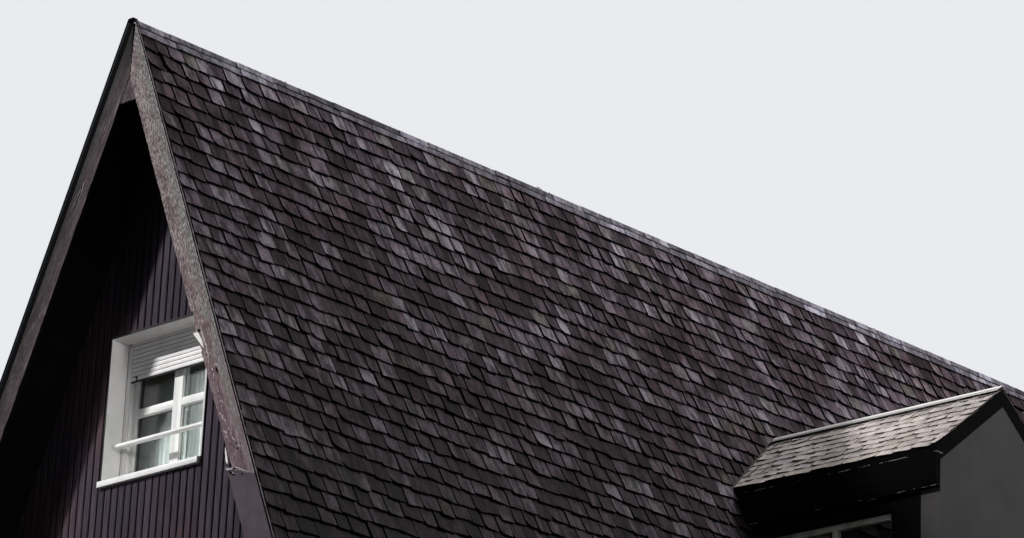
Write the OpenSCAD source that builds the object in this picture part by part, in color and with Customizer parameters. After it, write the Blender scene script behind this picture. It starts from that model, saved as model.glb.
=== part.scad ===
// Steep slate-roofed top storey of a house: a gable with a deep overhang,
// weathered barge boards and a shuttered window, and a low side dormer
// on the right slope. It is cut off level at the storey's floor.
// Millimetres. X = 0 is the ridge line, -Y is the window gable, Z = 0 the underside of the floor.

/* [Main roof] */
// Height of the meeting point of the barge boards above the underside of the floor
apex_height = 4750; // [4550:10:5000]
// Slope of the main roof in degrees
roof_pitch = 66.25; // [65:0.25:68]
// Length from the front barge face to the back barge face
roof_length = 12000; // [10500:50:14000]
// How far the roof stands out past each gable's boarding
overhang = 500; // [350:5:650]
// Thickness of rafters and sheathing together
roof_t = 145; // [110:1:170]
// Thickness of the lining inside and of the soffit under the overhangs
lining_t = 15; // [10:1:24]

/* [Slates] */
// Height of one course of slates that shows
course = 160; // [140:1:190]
// Thickness of battens and slate at the head of a course
slate_head = 22; // [18:1:26]
// Thickness of battens and slates at the tail of a course
slate_tail = 33; // [28:1:40]
// How far the left slates stay behind the face of the barge boards
slate_setback = 10; // [4:1:20]
// Gap under the slates, the boarding and the trim, above the underside of the floor
slate_foot = 12; // [5:1:40]

/* [Ridge] */
// Width of the upper ridge strip down each slope
crest_w = 72; // [60:1:90]
// Width of both ridge strips together down each slope
ridge_w = 160; // [120:1:200]
// Thickness of each ridge strip
ridge_t = 12; // [8:1:14]
// Height of the flat crest above the meeting point of the barge boards
crest_rise = 15; // [12:1:40]

/* [Barge boards] */
// Width of a barge board
barge_w = 205; // [180:1:235]
// Thickness of a barge board
barge_t = 30; // [24:1:40]
// How far the barge boards sit to the right of the ridge line
barge_shift = 30; // [0:1:36]
// Height at which the mended lower part of the right board starts
mend_height = 686; // [500:1:900]
// Width of the mended lower part
mend_w = 250; // [240:1:280]
// Height of the filler board between the barge boards below the peak
filler_drop = 710; // [660:1:800]
// Thickness of the metal verge strip
verge_t = 3; // [2:0.5:4]
// Width of the verge strip's top, over the slates
verge_w = 30; // [20:1:60]

/* [Gable walls] */
// Thickness of a gable wall behind its boarding
wall_t = 320; // [300:1:360]
// Thickness of the upright boarding
cladding_t = 25; // [18:1:30]

/* [Floor] */
// Thickness of the floor slab
floor_t = 200; // [160:1:250]
// Thickness of the floor boards
floor_board_t = 25; // [18:1:35]

/* [Gable window] */
// Width of the window over its white surround
window_w = 1200; // [1100:5:1240]
// Height from the top of the sill to the top of the surround
window_h = 1188; // [1100:2:1240]
// Height of the top of the sill above the underside of the floor
sill_top = 1097; // [1040:1:1150]
// How far the window sits to the right of the ridge line
window_shift = 62; // [0:1:80]
// Thickness of the surround boards
surround_t = 20; // [16:1:26]
// How far the surround stands out from the boarding
surround_proud = 5; // [2:1:10]
// Height of the sill's front face
sill_h = 54; // [40:1:70]
// How far the sill stands out from the boarding
sill_proud = 32; // [20:1:50]
// Fall of the sill's top to its front edge
sill_fall = 6; // [3:1:12]
// Depth from the boarding to the fixed frame
frame_setback = 224; // [215:1:235]
// Depth of the fixed frame
frame_d = 66; // [60:1:75]
// Visible width of the fixed frame
frame_w = 33; // [28:1:45]
// Width of a sash's stiles and rails
stile_w = 52; // [45:1:60]
// Width and thickness of the lip by which a sash closes on the frame
sash_lip = 10; // [8:1:14]
// Height of the bar across each sash
bar_h = 57; // [40:1:65]
// Thickness of the glazing
glass_t = 24; // [16:1:28]
// Running gap around a sash
sash_gap = 2; // [1:0.5:3]

/* [Roller shutter] */
// Length of the shutter that hangs below the surround
shutter_drop = 304; // [150:2:600]
// Height of one shutter slat
slat_h = 37; // [30:1:45]
// Thickness of a slat
slat_t = 9; // [8:0.5:12]
// Width of a guide rail
guide_w = 45; // [38:1:60]
// Depth of a guide rail
guide_d = 52; // [44:1:54]
// How far the slats stay behind the front of the guides
slat_back = 10; // [6:1:16]
// How far the slats reach into the guides
slat_tuck = 18; // [10:1:24]
// Room at the end of a slat in its guide
slat_room = 4; // [2:1:8]
// Length of the shutter that is hidden above the surround's foot
shutter_hidden = 45; // [30:1:55]
// Height of the hidden shutter box
box_h = 170; // [150:1:185]
// How far the box reaches in front of the guides
box_front = 30; // [10:1:60]
// Height of the slot in the box
box_slot = 60; // [50:1:90]
// Gap between the box and the wall at each end
box_gap = 2; // [1:0.5:6]

/* [Guard rail] */
// Diameter of the guard rail
rail_d = 34; // [28:1:42]
// Height of the rail's axis above the sill
rail_height = 296; // [260:1:340]
// Depth of the rail's axis behind the boarding
rail_setback = 86; // [70:1:110]
// How far a flange stands out around the rail
flange_w = 14; // [8:1:20]
// Thickness of a flange
flange_t = 6; // [3:1:10]

/* [Curtains] */
// Thickness of the folded curtain
curtain_t = 24; // [16:1:30]
// Length of the curtain from its rail
curtain_drop = 1420; // [1330:5:1500]
// Height of the curtain rail above the window's surround
rail_lift = 60; // [30:1:80]
// Height of the curtain rail
rail_h = 20; // [14:1:26]
// Gap between the rail's ends and the linings
rail_gap = 20; // [5:1:40]
// Gap between the wall and the curtains
hang_gap = 10; // [6:1:20]
// How far a curtain covers the wall beside the window
curtain_lap = 60; // [20:1:90]
// Gap between the two curtains
curtain_gap = 12; // [6:1:20]

/* [Side dormer] */
// Distance of the side dormer's ridge behind the front barge face
wing_back = 7008; // [6600:1:7400]
// Height of the side dormer's ridge without its slates
wing_ridge = 2808; // [2700:1:2900]
// Slope of the side dormer's roof in degrees
wing_pitch = 38.3; // [36:0.1:40]
// Half the width of the side dormer over its eaves
wing_half = 912; // [880:1:940]
// How far the eaves stand out from the side dormer's walls
wing_eave = 56; // [40:1:80]
// Distance of the outer face of the party wall from the ridge line
wing_end = 3400; // [3250:5:3600]
// Thickness of the side dormer's walls
wing_wall_t = 250; // [220:1:280]
// Thickness of the party wall
party_t = 200; // [160:1:240]
// Thickness of the side dormer's roof
wing_roof_t = 120; // [100:1:150]
// Thickness of the side dormer's slates at the tail
wing_slate_t = 30; // [26:1:36]
// How much thinner those slates are at the head of a course
wing_slate_taper = 8; // [5:1:12]
// Height of a course on the side dormer
wing_course = 150; // [130:1:180]
// Width of the side dormer's metal ridge strip down each slope
ridge_strip_w = 70; // [50:1:100]
// Thickness of that strip
ridge_strip_t = 3; // [2:0.5:5]
// How far the opening into the side dormer ends below its ceiling
opening_drop = 40; // [30:1:80]
// Height of the dark fascia under the eaves
fascia_h = 190; // [150:1:220]
// Thickness of the fascia
fascia_t = 22; // [16:1:30]

/* [Side dormer window] */
// Height of the window's head above the underside of the floor
wing_head = 1624; // [1560:1:1660]
// Height of the window's opening
wing_window_h = 700; // [600:5:760]
// Distance of the window's right edge from the ridge line
wing_window_end = 2890; // [2780:5:2980]
// Distance of the middle post from the ridge line
wing_post = 2233; // [2150:1:2320]
// Gap between the main roof and the window
wing_window_gap = 110; // [90:1:150]
// Width of the window's frame
wing_frame_w = 50; // [40:1:60]
// Depth of the window's frame
wing_frame_d = 70; // [60:1:90]
// Depth of the frame behind the wall's face
wing_setback = 60; // [40:1:90]

/* [Hidden] */
half = 90 - roof_pitch;
y_front = -roof_length / 2;
y_board = y_front + overhang;
y_wall = y_board + cladding_t;
y_room = y_wall + wall_t;
floor_top = floor_t + floor_board_t;
far = 3 * roof_length;

// A point v down the right slope and o out from the line of the barge boards' outer edge
function on_slope(v, o) = [v * sin(half) + o * cos(half), apex_height - v * cos(half) + o * sin(half)];
// Where a plane at offset o meets the middle, a given height, and the foot
function peak(o) = [0, apex_height + o / sin(half)];
function slope_x(z, o) = (apex_height - z) * tan(half) + o / cos(half);
function at_height(z, o) = [slope_x(z, o), z];
function foot(o) = at_height(0, o);
function flip(p) = [-p[0], p[1]];

// Window lines
wx0 = window_shift - window_w / 2;
wx1 = window_shift + window_w / 2;
head_top = sill_top + window_h;
head_in = head_top - surround_t;
fx0 = wx0 + surround_t;
fx1 = wx1 - surround_t;
y_frame = y_board + frame_setback;
y_guide = y_frame - guide_d;
y_slat = y_guide + slat_back;
y_box = y_guide - box_front;
sash_mid = (sill_top + head_in) / 2;

// Side dormer lines
wing_y = y_front + wing_back;
wing_y0 = wing_y - wing_half;
wing_y1 = wing_y + wing_half;
wall_y0 = wing_y0 + wing_eave;
wall_y1 = wing_y1 - wing_eave;
room_y0 = wall_y0 + wing_wall_t;
room_y1 = wall_y1 - wing_wall_t;
room_x1 = wing_end - party_t;
function wing_z(y, o) = wing_ridge - abs(y - wing_y) * tan(wing_pitch) + o / cos(wing_pitch);
opening_head = wing_z(room_y0, -wing_roof_t) - opening_drop;
fascia_z = wing_z(wing_y0, -wing_roof_t) - fascia_h;

// Carries a drawing in X and Z along Y
module along_y(y0, y1) translate([0, y1, 0]) rotate([90, 0, 0]) linear_extrude(height = y1 - y0) children();
// Carries a drawing in Y and Z along X
module along_x(x0, x1) translate([x0, 0, 0]) rotate([90, 0, 90]) linear_extrude(height = x1 - x0) children();
// A box between two corners
module block(a, b) translate(a) cube(b - a);
module left_side() mirror([1, 0, 0]) children();
module back_end() mirror([0, 1, 0]) children();

// What lies under the lower edge of slates, boarding and trim
module below_foot() block([-far, -far, -far], [far, far, slate_foot]);

// A layer of the right slope between two offsets
module layer(o0, o1, y0, y1) along_y(y0, y1) polygon([peak(o0), foot(o0), foot(o1), peak(o1)]);

// Everything inside the outer face of the main roof's sheathing
module under_main_roof() along_y(-far, far) polygon([[-far, -far], [slope_x(-far, 0), -far], peak(0), [-far, apex_height]]);

// The side dormer's outline in Y and Z, out to its slates
module wing_outline() polygon([[wall_y0, -1], [wall_y1, -1], [wall_y1, fascia_z], [wing_y1, fascia_z],
    [wing_y1, wing_z(wing_y1, wing_slate_t)], [wing_y, wing_z(wing_y, wing_slate_t)],
    [wing_y0, wing_z(wing_y0, wing_slate_t)], [wing_y0, fascia_z], [wall_y0, fascia_z]]);

// ---- Floor ----
module floor_slab() color("#8d8a84")
    along_y(y_room, -y_room)
        polygon([flip(foot(-roof_t)), foot(-roof_t), at_height(floor_t, -roof_t), flip(at_height(floor_t, -roof_t))]);

module floor_boards() color("#9a7b55")
    along_y(y_room, -y_room)
        let (a = at_height(floor_t, -roof_t - lining_t), b = at_height(floor_top, -roof_t - lining_t))
            polygon([flip(a), a, b, flip(b)]);

module wing_floor() color("#8d8a84")
    along_y(room_y0, room_y1)
        polygon([foot(-roof_t), [room_x1, 0], [room_x1, floor_top], at_height(floor_top, -roof_t - lining_t),
            at_height(floor_t, -roof_t - lining_t), at_height(floor_t, -roof_t)]);

// ---- Main roof ----
module roof_left() color("#6d5a46") left_side() layer(-roof_t, 0, y_front + barge_t, -y_front - barge_t);
module roof_right_front() color("#6d5a46") layer(-roof_t, 0, y_front + barge_t, room_y0);
module roof_right_rear() color("#6d5a46") layer(-roof_t, 0, room_y1, -y_front - barge_t);
module roof_right_over() color("#6d5a46")
    along_y(room_y0, room_y1)
        polygon([peak(-roof_t), at_height(opening_head, -roof_t), at_height(opening_head, 0), peak(0)]);

module linings() color("#d8d2c4") difference() {
    union() {
        layer(-roof_t - lining_t, -roof_t, y_room, -y_room);
        left_side() layer(-roof_t - lining_t, -roof_t, y_room, -y_room);
    }
    block([0, room_y0, -1], [far, room_y1, opening_head]);
    block([-far, -far, -1], [far, far, floor_t]);
}

module soffits() color("#1b1a1c") difference() {
    for (end = [0, 1], side = [0, 1])
        mirror([0, end, 0]) mirror([side, 0, 0])
            layer(-roof_t - lining_t, -roof_t, y_front + barge_t, y_board);
    below_foot();
}

// Courses of slates, each thicker at its tail, with a flat head under the ridge strips
module slate_courses() {
    rows = ceil(apex_height / cos(half) / course) + 1;
    polygon(concat([on_slope(0, 0), on_slope(0, slate_head), on_slope(ridge_w, slate_head)],
        [for (i = [0:rows - 1], t = [0, 1]) on_slope(ridge_w + (i + t) * course, t == 0 ? slate_head : slate_tail)],
        [on_slope(ridge_w + rows * course, 0)]));
}
module slate_side(back) difference() {
    along_y(y_front + back, -y_front - back) slate_courses();
    below_foot();
}
module slates_left() color("#58555a") left_side() slate_side(slate_setback);
module slates_right() color("#5d595f") difference() {
    slate_side(barge_t);
    along_x(0, far) wing_outline();
}

module ridge_strips() color("#6a676c") {
    crest_o = slate_head + 2 * ridge_t;
    right = [on_slope(0, slate_head), on_slope(ridge_w, slate_head), on_slope(ridge_w, slate_head + ridge_t),
        on_slope(crest_w, slate_head + ridge_t), on_slope(crest_w, crest_o),
        at_height(apex_height + crest_rise, crest_o)];
    along_y(y_front + barge_t, -y_front - barge_t)
        polygon(concat([[0, apex_height]], right, [for (i = [len(right) - 1:-1:0]) flip(right[i])]));
}

// ---- Barge boards ----
// The boards stand a little to the right of the roof they trim, so the slates
// stand out past the left one and end flush behind the right one.
module board(points) translate([barge_shift, 0, 0]) along_y(y_front, y_front + barge_t) polygon(points);
module barge() board([peak(-barge_w), foot(-barge_w), foot(0), peak(0)]);
mend_v = (apex_height - mend_height) / cos(half);
module barge_front_left() color("#8b8486") translate([2 * barge_shift, 0, 0]) left_side() barge();
module barge_front_right() color("#9c9698")
    board([peak(-barge_w), on_slope(mend_v, -barge_w), on_slope(mend_v, 0), peak(0)]);
module barge_mend() color("#6f6468")
    board([on_slope(mend_v, -mend_w), foot(-mend_w), foot(0), on_slope(mend_v, 0)]);
module barge_back_left() color("#8b8486") back_end() translate([2 * barge_shift, 0, 0]) left_side() barge();
module barge_back_right() color("#8b8486") back_end() barge();
module apex_fillers() color("#857f81") {
    z = apex_height - filler_drop;
    for (end = [0, 1]) mirror([0, end, 0])
        board([flip(at_height(z, -barge_w)), at_height(z, -barge_w), peak(-barge_w)]);
}

// Metal strips over the slates' ends, along the back of the right boards and over the left ones
module verge_strip(back) difference() {
    along_y(y_front + back, y_front + back + verge_w)
        polygon([on_slope(ridge_w, slate_tail), foot(slate_tail), foot(slate_tail + verge_t), on_slope(ridge_w, slate_tail + verge_t)]);
    below_foot();
}
module verge_strips() color("#77797d") for (end = [0, 1]) mirror([0, end, 0]) {
    verge_strip(barge_t);
    left_side() verge_strip(slate_setback);
}

// ---- Gable walls ----
module gable_outline() polygon([flip(foot(-roof_t)), foot(-roof_t), peak(-roof_t)]);
module window_hole() block([wx0, -far, sill_top - sill_h], [wx1, 0, head_top]);
module gable_wall() difference() {
    along_y(y_wall, y_room) gable_outline();
    window_hole();
    block([wx0, y_box, head_top - 1], [wx1, y_frame + frame_d, head_top + box_h]);
}
module gable_boarding() difference() {
    along_y(y_board, y_wall) gable_outline();
    window_hole();
    below_foot();
}
module front_wall() color("#b9b2a6") gable_wall();
module back_wall() color("#b9b2a6") back_end() difference() {
    along_y(y_wall, y_room) gable_outline();
    window_hole();
}
module front_boarding() color("#4b3d44") gable_boarding();
module back_boarding() color("#4b3d44") back_end() gable_boarding();

// ---- Gable window ----
module surround(head_depth) {
    y0 = y_board - surround_proud;
    block([wx0, y0, sill_top], [fx0, y_frame, head_top]);
    block([fx1, y0, sill_top], [wx1, y_frame, head_top]);
    block([wx0, y0, head_in], [wx1, head_depth, head_top]);
}
module sill() along_x(wx0, wx1)
    polygon([[y_board - sill_proud, sill_top - sill_h], [y_board - sill_proud, sill_top - sill_fall], [y_board, sill_top],
        [y_frame + frame_d, sill_top], [y_frame + frame_d, sill_top - sill_h]]);
module ring(x0, x1, z0, z1, w, y0, y1) difference() {
    block([x0, y0, z0], [x1, y1, z1]);
    block([x0 + w, y0 - 1, z0 + w], [x1 - w, y1 + 1, z1 - w]);
}
module fixed_frame() ring(fx0, fx1, sill_top, head_in, frame_w, y_frame, y_frame + frame_d);

// Sash number 0 is the left one
function sash_x(n) = n == 0
    ? [fx0 + frame_w + sash_gap, (fx0 + fx1) / 2 - sash_gap / 4]
    : [(fx0 + fx1) / 2 + sash_gap / 4, fx1 - frame_w - sash_gap];
y_sash = y_frame + frame_d + sash_lip;
sash_z = [sill_top + frame_w + sash_gap, head_in - frame_w - sash_gap];
module sash(n) {
    x = sash_x(n);
    lip = sash_gap + sash_lip;
    difference() {
        union() {
            block([x[0], y_frame, sash_z[0]], [x[1], y_sash, sash_z[1]]);
            block([x[0] - (1 - n) * lip, y_frame + frame_d, sash_z[0] - lip], [x[1] + n * lip, y_sash, sash_z[1] + lip]);
        }
        block([x[0] + stile_w, -far, sash_z[0] + stile_w], [x[1] - stile_w, 0, sash_z[1] - stile_w]);
    }
    block([x[0] + stile_w, y_frame, sash_mid - bar_h / 2], [x[1] - stile_w, y_sash, sash_mid + bar_h / 2]);
}
module panes(n) {
    x = sash_x(n);
    y = (y_frame + y_sash - glass_t) / 2;
    block([x[0] + stile_w, y, sash_z[0] + stile_w], [x[1] - stile_w, y + glass_t, sash_mid - bar_h / 2]);
    block([x[0] + stile_w, y, sash_mid + bar_h / 2], [x[1] - stile_w, y + glass_t, sash_z[1] - stile_w]);
}
module window_surround() color("#e6e4e0") surround(y_guide - 1);
module window_sill() color("#eeeeee") sill();
module window_frame() color("#e4e3e0") fixed_frame();
module sash_left() color("#e9e8e6") sash(0);
module sash_right() color("#e9e8e6") sash(1);
module glass_left() color("#8fa3a3") panes(0);
module glass_right() color("#8fa3a3") panes(1);
module back_surround() color("#e6e4e0") back_end() surround(y_frame);
module back_sill() color("#eeeeee") back_end() sill();
module back_frame() color("#e4e3e0") back_end() fixed_frame();
module back_sashes() color("#e9e8e6") back_end() { sash(0); sash(1); }
module back_glass() color("#8fa3a3") back_end() { panes(0); panes(1); }

// ---- Roller shutter ----
slot_gap = 0.3;
slat_x0 = fx0 + guide_w - slat_tuck;
slat_x1 = fx1 - guide_w + slat_tuck;
slot_x0 = slat_x0 - slat_room;
slot_x1 = slat_x1 + slat_room;
module shutter_box() color("#cfcfcf") difference() {
    block([wx0 + box_gap, y_box, head_top], [wx1 - box_gap, y_frame + frame_d, head_top + box_h]);
    block([slot_x0, y_slat - slot_gap, head_top - 1], [slot_x1, y_slat + slat_t + slot_gap, head_top + box_slot]);
}
module shutter_guides() color("#d9d9d7") for (side = [0, 1])
    translate([side * (fx0 + fx1), 0, 0]) mirror([side, 0, 0]) difference() {
        block([fx0, y_guide, sill_top], [fx0 + guide_w, y_frame, head_in]);
        block([slot_x0, y_slat - slot_gap, sill_top - 1], [fx0 + guide_w + 1, y_slat + slat_t + slot_gap, head_in + 1]);
    }
module roller_shutter() color("#dededc") {
    bottom = head_in - shutter_drop;
    rows = floor((head_top + shutter_hidden - bottom) / slat_h);
    along_x(slat_x0, slat_x1)
        polygon(concat([for (i = [0:rows - 1], p = [[2.5, 0], [0.6, 4], [0, slat_h / 2], [0.6, slat_h - 4]])
            [y_slat + p[0], bottom + i * slat_h + p[1]]],
            [[y_slat + 2.5, bottom + rows * slat_h], [y_slat + slat_t, bottom + rows * slat_h], [y_slat + slat_t, bottom]]));
}

module guard_rail() color("#f0f0ee") {
    translate([fx0, y_board + rail_setback, sill_top + rail_height]) rotate([0, 90, 0]) cylinder(d = rail_d, h = fx1 - fx0, $fn = 48);
    for (x = [fx0, fx1 - flange_t]) translate([x, y_board + rail_setback, sill_top + rail_height]) rotate([0, 90, 0])
        cylinder(d = rail_d + 2 * flange_w, h = flange_t, $fn = 48);
}

// ---- Curtains ----
curtain_z = head_top + rail_lift;
y_hang = y_room + hang_gap;
// The rail runs from slope to slope, a small gap short of each lining
rail_reach = slope_x(curtain_z + rail_h, -roof_t - lining_t) - rail_gap;
module curtain_rail() color("#c9c6bf") {
    block([-rail_reach, y_hang, curtain_z], [rail_reach, y_hang + curtain_t, curtain_z + rail_h]);
    for (x = [-rail_reach + rail_h, window_shift - rail_h / 2, rail_reach - 2 * rail_h])
        block([x, y_room, curtain_z], [x + rail_h, y_hang, curtain_z + rail_h]);
}
module curtain_left() color("#cfd3cf")
    block([wx0 - curtain_lap, y_hang, curtain_z - curtain_drop], [window_shift - curtain_gap / 2, y_hang + curtain_t, curtain_z]);
module curtain_right() color("#cfd3cf")
    block([window_shift + curtain_gap / 2, y_hang, curtain_z - curtain_drop], [wx1 + curtain_lap, y_hang + curtain_t, curtain_z]);

// ---- Side dormer ----
wing_sill = wing_head - wing_window_h;
function wing_left(z, inset) = slope_x(z, 0) + wing_window_gap + inset / cos(half);
module wing_window_shape(inset) {
    z0 = wing_sill + inset;
    z1 = wing_head - inset;
    polygon([[wing_left(z0, inset), z0], [wing_window_end - inset, z0], [wing_window_end - inset, z1], [wing_left(z1, inset), z1]]);
}
module wing_wall(y0, y1) difference() {
    along_x(0, room_x1) polygon([[y0, 0], [y1, 0], [y1, wing_z(y1, -wing_roof_t)], [y0, wing_z(y0, -wing_roof_t)]]);
    under_main_roof();
}
module wing_wall_front() color("#2b2426") difference() {
    wing_wall(wall_y0, room_y0);
    along_y(wall_y0 - 1, room_y0 + 1) wing_window_shape(0);
}
module wing_wall_rear() color("#b9b2a6") wing_wall(room_y1, wall_y1);
module party_wall() color("#b5aea2")
    along_x(room_x1, wing_end) polygon([[wall_y0, 0], [wall_y1, 0], [wall_y1, wing_z(wall_y1, -wing_roof_t)],
        [wing_y, wing_z(wing_y, -wing_roof_t)], [wall_y0, wing_z(wall_y0, -wing_roof_t)]]);

// One slope of the side dormer between two offsets, cut at the main roof
module wing_layer(y, o0, o1) difference() {
    along_x(0, wing_end) polygon([[wing_y, wing_z(wing_y, o0)], [y, wing_z(y, o0)], [y, wing_z(y, o1)], [wing_y, wing_z(wing_y, o1)]]);
    under_main_roof();
}
module wing_roof_front() color("#6d5a46") wing_layer(wing_y0, -wing_roof_t, 0);
module wing_roof_rear() color("#6d5a46") wing_layer(wing_y1, -wing_roof_t, 0);

// Courses on the side dormer, from the eave up
module wing_courses(y_eave) {
    step = wing_course * cos(wing_pitch);
    way = y_eave < wing_y ? 1 : -1;
    rows = floor(wing_half / step);
    head = wing_slate_t - wing_slate_taper;
    polygon(concat([[wing_y, wing_z(wing_y, 0)], [y_eave, wing_z(y_eave, 0)]],
        [for (i = [0:rows - 1], t = [0, 1]) let (y = y_eave + way * (i + t) * step) [y, wing_z(y, t == 0 ? wing_slate_t : head)]],
        [let (y = y_eave + way * rows * step) [y, wing_z(y, wing_slate_t)], [wing_y, wing_z(wing_y, wing_slate_t)]]));
}
module wing_slates(y_eave) difference() {
    along_x(0, wing_end) wing_courses(y_eave);
    under_main_roof();
}
module wing_slates_front() color("#a39d97") wing_slates(wing_y0);
module wing_slates_rear() color("#a39d97") wing_slates(wing_y1);
module wing_ridge_strip() color("#c9cacc") difference() {
    y0 = wing_y - ridge_strip_w;
    y1 = wing_y + ridge_strip_w;
    low = wing_slate_t;
    high = wing_slate_t + ridge_strip_t;
    along_x(0, wing_end) polygon([[y0, wing_z(y0, low)], [y0, wing_z(y0, high)], [wing_y, wing_z(wing_y, high)],
        [y1, wing_z(y1, high)], [y1, wing_z(y1, low)], [wing_y, wing_z(wing_y, low)]]);
    along_y(-far, far) polygon([[-far, -far], [slope_x(-far, slate_tail), -far], [slope_x(apex_height, slate_tail), apex_height],
        [-far, apex_height]]);
}
module wing_fascias() color("#1f1b1d") difference() {
    for (side = [0, 1]) translate([0, side * 2 * wing_y, 0]) mirror([0, side, 0])
        along_x(0, wing_end) polygon([[wing_y0, fascia_z], [wall_y0, fascia_z], [wall_y0, fascia_z + fascia_t],
            [wing_y0 + fascia_t, fascia_z + fascia_t], [wing_y0 + fascia_t, fascia_z + fascia_h], [wing_y0, fascia_z + fascia_h]]);
    under_main_roof();
}
module wing_frame() color("#dcdbd8") {
    y0 = wall_y0 + wing_setback;
    along_y(y0, y0 + wing_frame_d) difference() {
        wing_window_shape(0);
        wing_window_shape(wing_frame_w);
    }
    block([wing_post - wing_frame_w / 2, y0, wing_sill + wing_frame_w], [wing_post + wing_frame_w / 2, y0 + wing_frame_d, wing_head - wing_frame_w]);
}
module wing_glass() color("#2d3133") {
    y0 = wall_y0 + wing_setback + (wing_frame_d - glass_t) / 2;
    difference() {
        along_y(y0, y0 + glass_t) wing_window_shape(wing_frame_w);
        block([wing_post - wing_frame_w / 2, y0 - 1, 0], [wing_post + wing_frame_w / 2, y0 + glass_t + 1, wing_head]);
    }
}

floor_slab();
floor_boards();
wing_floor();
roof_left();
roof_right_front();
roof_right_rear();
roof_right_over();
linings();
soffits();
slates_left();
slates_right();
ridge_strips();
barge_front_left();
barge_front_right();
barge_mend();
barge_back_left();
barge_back_right();
apex_fillers();
verge_strips();
front_wall();
back_wall();
front_boarding();
back_boarding();
window_surround();
window_sill();
window_frame();
sash_left();
sash_right();
glass_left();
glass_right();
back_surround();
back_sill();
back_frame();
back_sashes();
back_glass();
shutter_box();
shutter_guides();
roller_shutter();
guard_rail();
curtain_rail();
curtain_left();
curtain_right();
wing_wall_front();
wing_wall_rear();
party_wall();
wing_roof_front();
wing_roof_rear();
wing_slates_front();
wing_slates_rear();
wing_ridge_strip();
wing_fascias();
wing_frame();
wing_glass();
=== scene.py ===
import bpy, bmesh, math, random
from mathutils import Matrix, Vector, noise


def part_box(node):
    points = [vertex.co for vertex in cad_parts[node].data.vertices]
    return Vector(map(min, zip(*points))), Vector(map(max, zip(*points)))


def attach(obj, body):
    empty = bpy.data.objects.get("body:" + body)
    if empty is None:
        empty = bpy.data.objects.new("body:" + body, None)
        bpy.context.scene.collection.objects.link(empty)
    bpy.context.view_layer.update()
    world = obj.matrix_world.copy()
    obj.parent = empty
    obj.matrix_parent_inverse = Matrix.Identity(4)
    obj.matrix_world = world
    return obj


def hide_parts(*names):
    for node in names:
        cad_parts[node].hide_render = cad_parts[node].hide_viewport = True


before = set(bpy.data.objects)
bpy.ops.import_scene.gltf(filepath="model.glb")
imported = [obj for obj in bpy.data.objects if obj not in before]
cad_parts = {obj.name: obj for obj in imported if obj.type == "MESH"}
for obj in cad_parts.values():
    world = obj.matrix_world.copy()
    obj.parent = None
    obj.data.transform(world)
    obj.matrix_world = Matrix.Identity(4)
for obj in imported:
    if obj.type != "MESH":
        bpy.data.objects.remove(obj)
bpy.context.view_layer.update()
scene = bpy.context.scene
scene.view_settings.view_transform = "Standard"

# ---- Camera, floor, backdrop and light ----
# The camera stands below the floor's level and looks up at the gable, as in the photograph. The
# pale floor can't be seen from below; it glows a little, so it is as pale far off as near. The main
# lamp stands high in front on the left, so the deep overhang shades the boarding.
PHOTO_WIDTH, FOCAL_PX, SENSOR_MM = 1024, 3748, 36
CAMERA_PLACE = Vector((21.640, -23.456, -7.224))
TURN, TILT, LEAN = -0.779, 0.347, 0.044
ahead = Vector((math.sin(TURN) * math.cos(TILT), math.cos(TURN) * math.cos(TILT), math.sin(TILT)))
level = Vector((math.cos(TURN), -math.sin(TURN), 0))
upward = level.cross(ahead)
side = math.cos(LEAN) * level + math.sin(LEAN) * upward
above = -math.sin(LEAN) * level + math.cos(LEAN) * upward
camera_data = bpy.data.cameras.new("camera")
camera_data.sensor_width = SENSOR_MM
camera_data.lens = SENSOR_MM * FOCAL_PX / PHOTO_WIDTH
camera_data.clip_end = 500
camera = bpy.data.objects.new("camera", camera_data)
scene.collection.objects.link(camera)
camera.matrix_world = Matrix.Translation(CAMERA_PLACE) @ Matrix((side, above, -ahead)).transposed().to_4x4()
scene.camera = camera


def linear(colour):
    """A six-figure hex sRGB colour as linear RGBA."""
    parts = [int(colour[i:i + 2], 16) / 255 for i in (0, 2, 4)]
    return [c / 12.92 if c <= 0.04045 else ((c + 0.055) / 1.055) ** 2.4 for c in parts] + [1]


def add(material, kind, links=None, **settings):
    """Adds a node, sets its named properties or inputs, then links its inputs to sockets or plain values."""
    node = material.node_tree.nodes.new("ShaderNode" + kind)
    for key, value in settings.items():
        if hasattr(node, key) and key not in node.inputs:
            setattr(node, key, value)
        else:
            node.inputs[key if key in node.inputs else key.replace("_", " ")].default_value = value
    for key, value in (links or {}).items():
        if isinstance(value, bpy.types.NodeSocket):
            material.node_tree.links.new(node.inputs[key], value)
        else:
            node.inputs[key].default_value = value
    return node


def calc(material, operation, *values):
    """The result of a math node on sockets or plain numbers."""
    return add(material, "Math", dict(enumerate(values)), operation=operation).outputs[0]


def blend(material, factor, first, second, kind="RGBA"):
    links = {"Factor": factor, "A": first, "B": second}
    return add(material, "Mix", links, data_type=kind).outputs["Result"]


def new_material(name):
    material = bpy.data.materials.new(name)
    material.use_nodes = True
    material.node_tree.nodes.clear()
    return material


def coat(piece, *materials):
    for material in materials:
        piece.data.materials.append(material)


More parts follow.
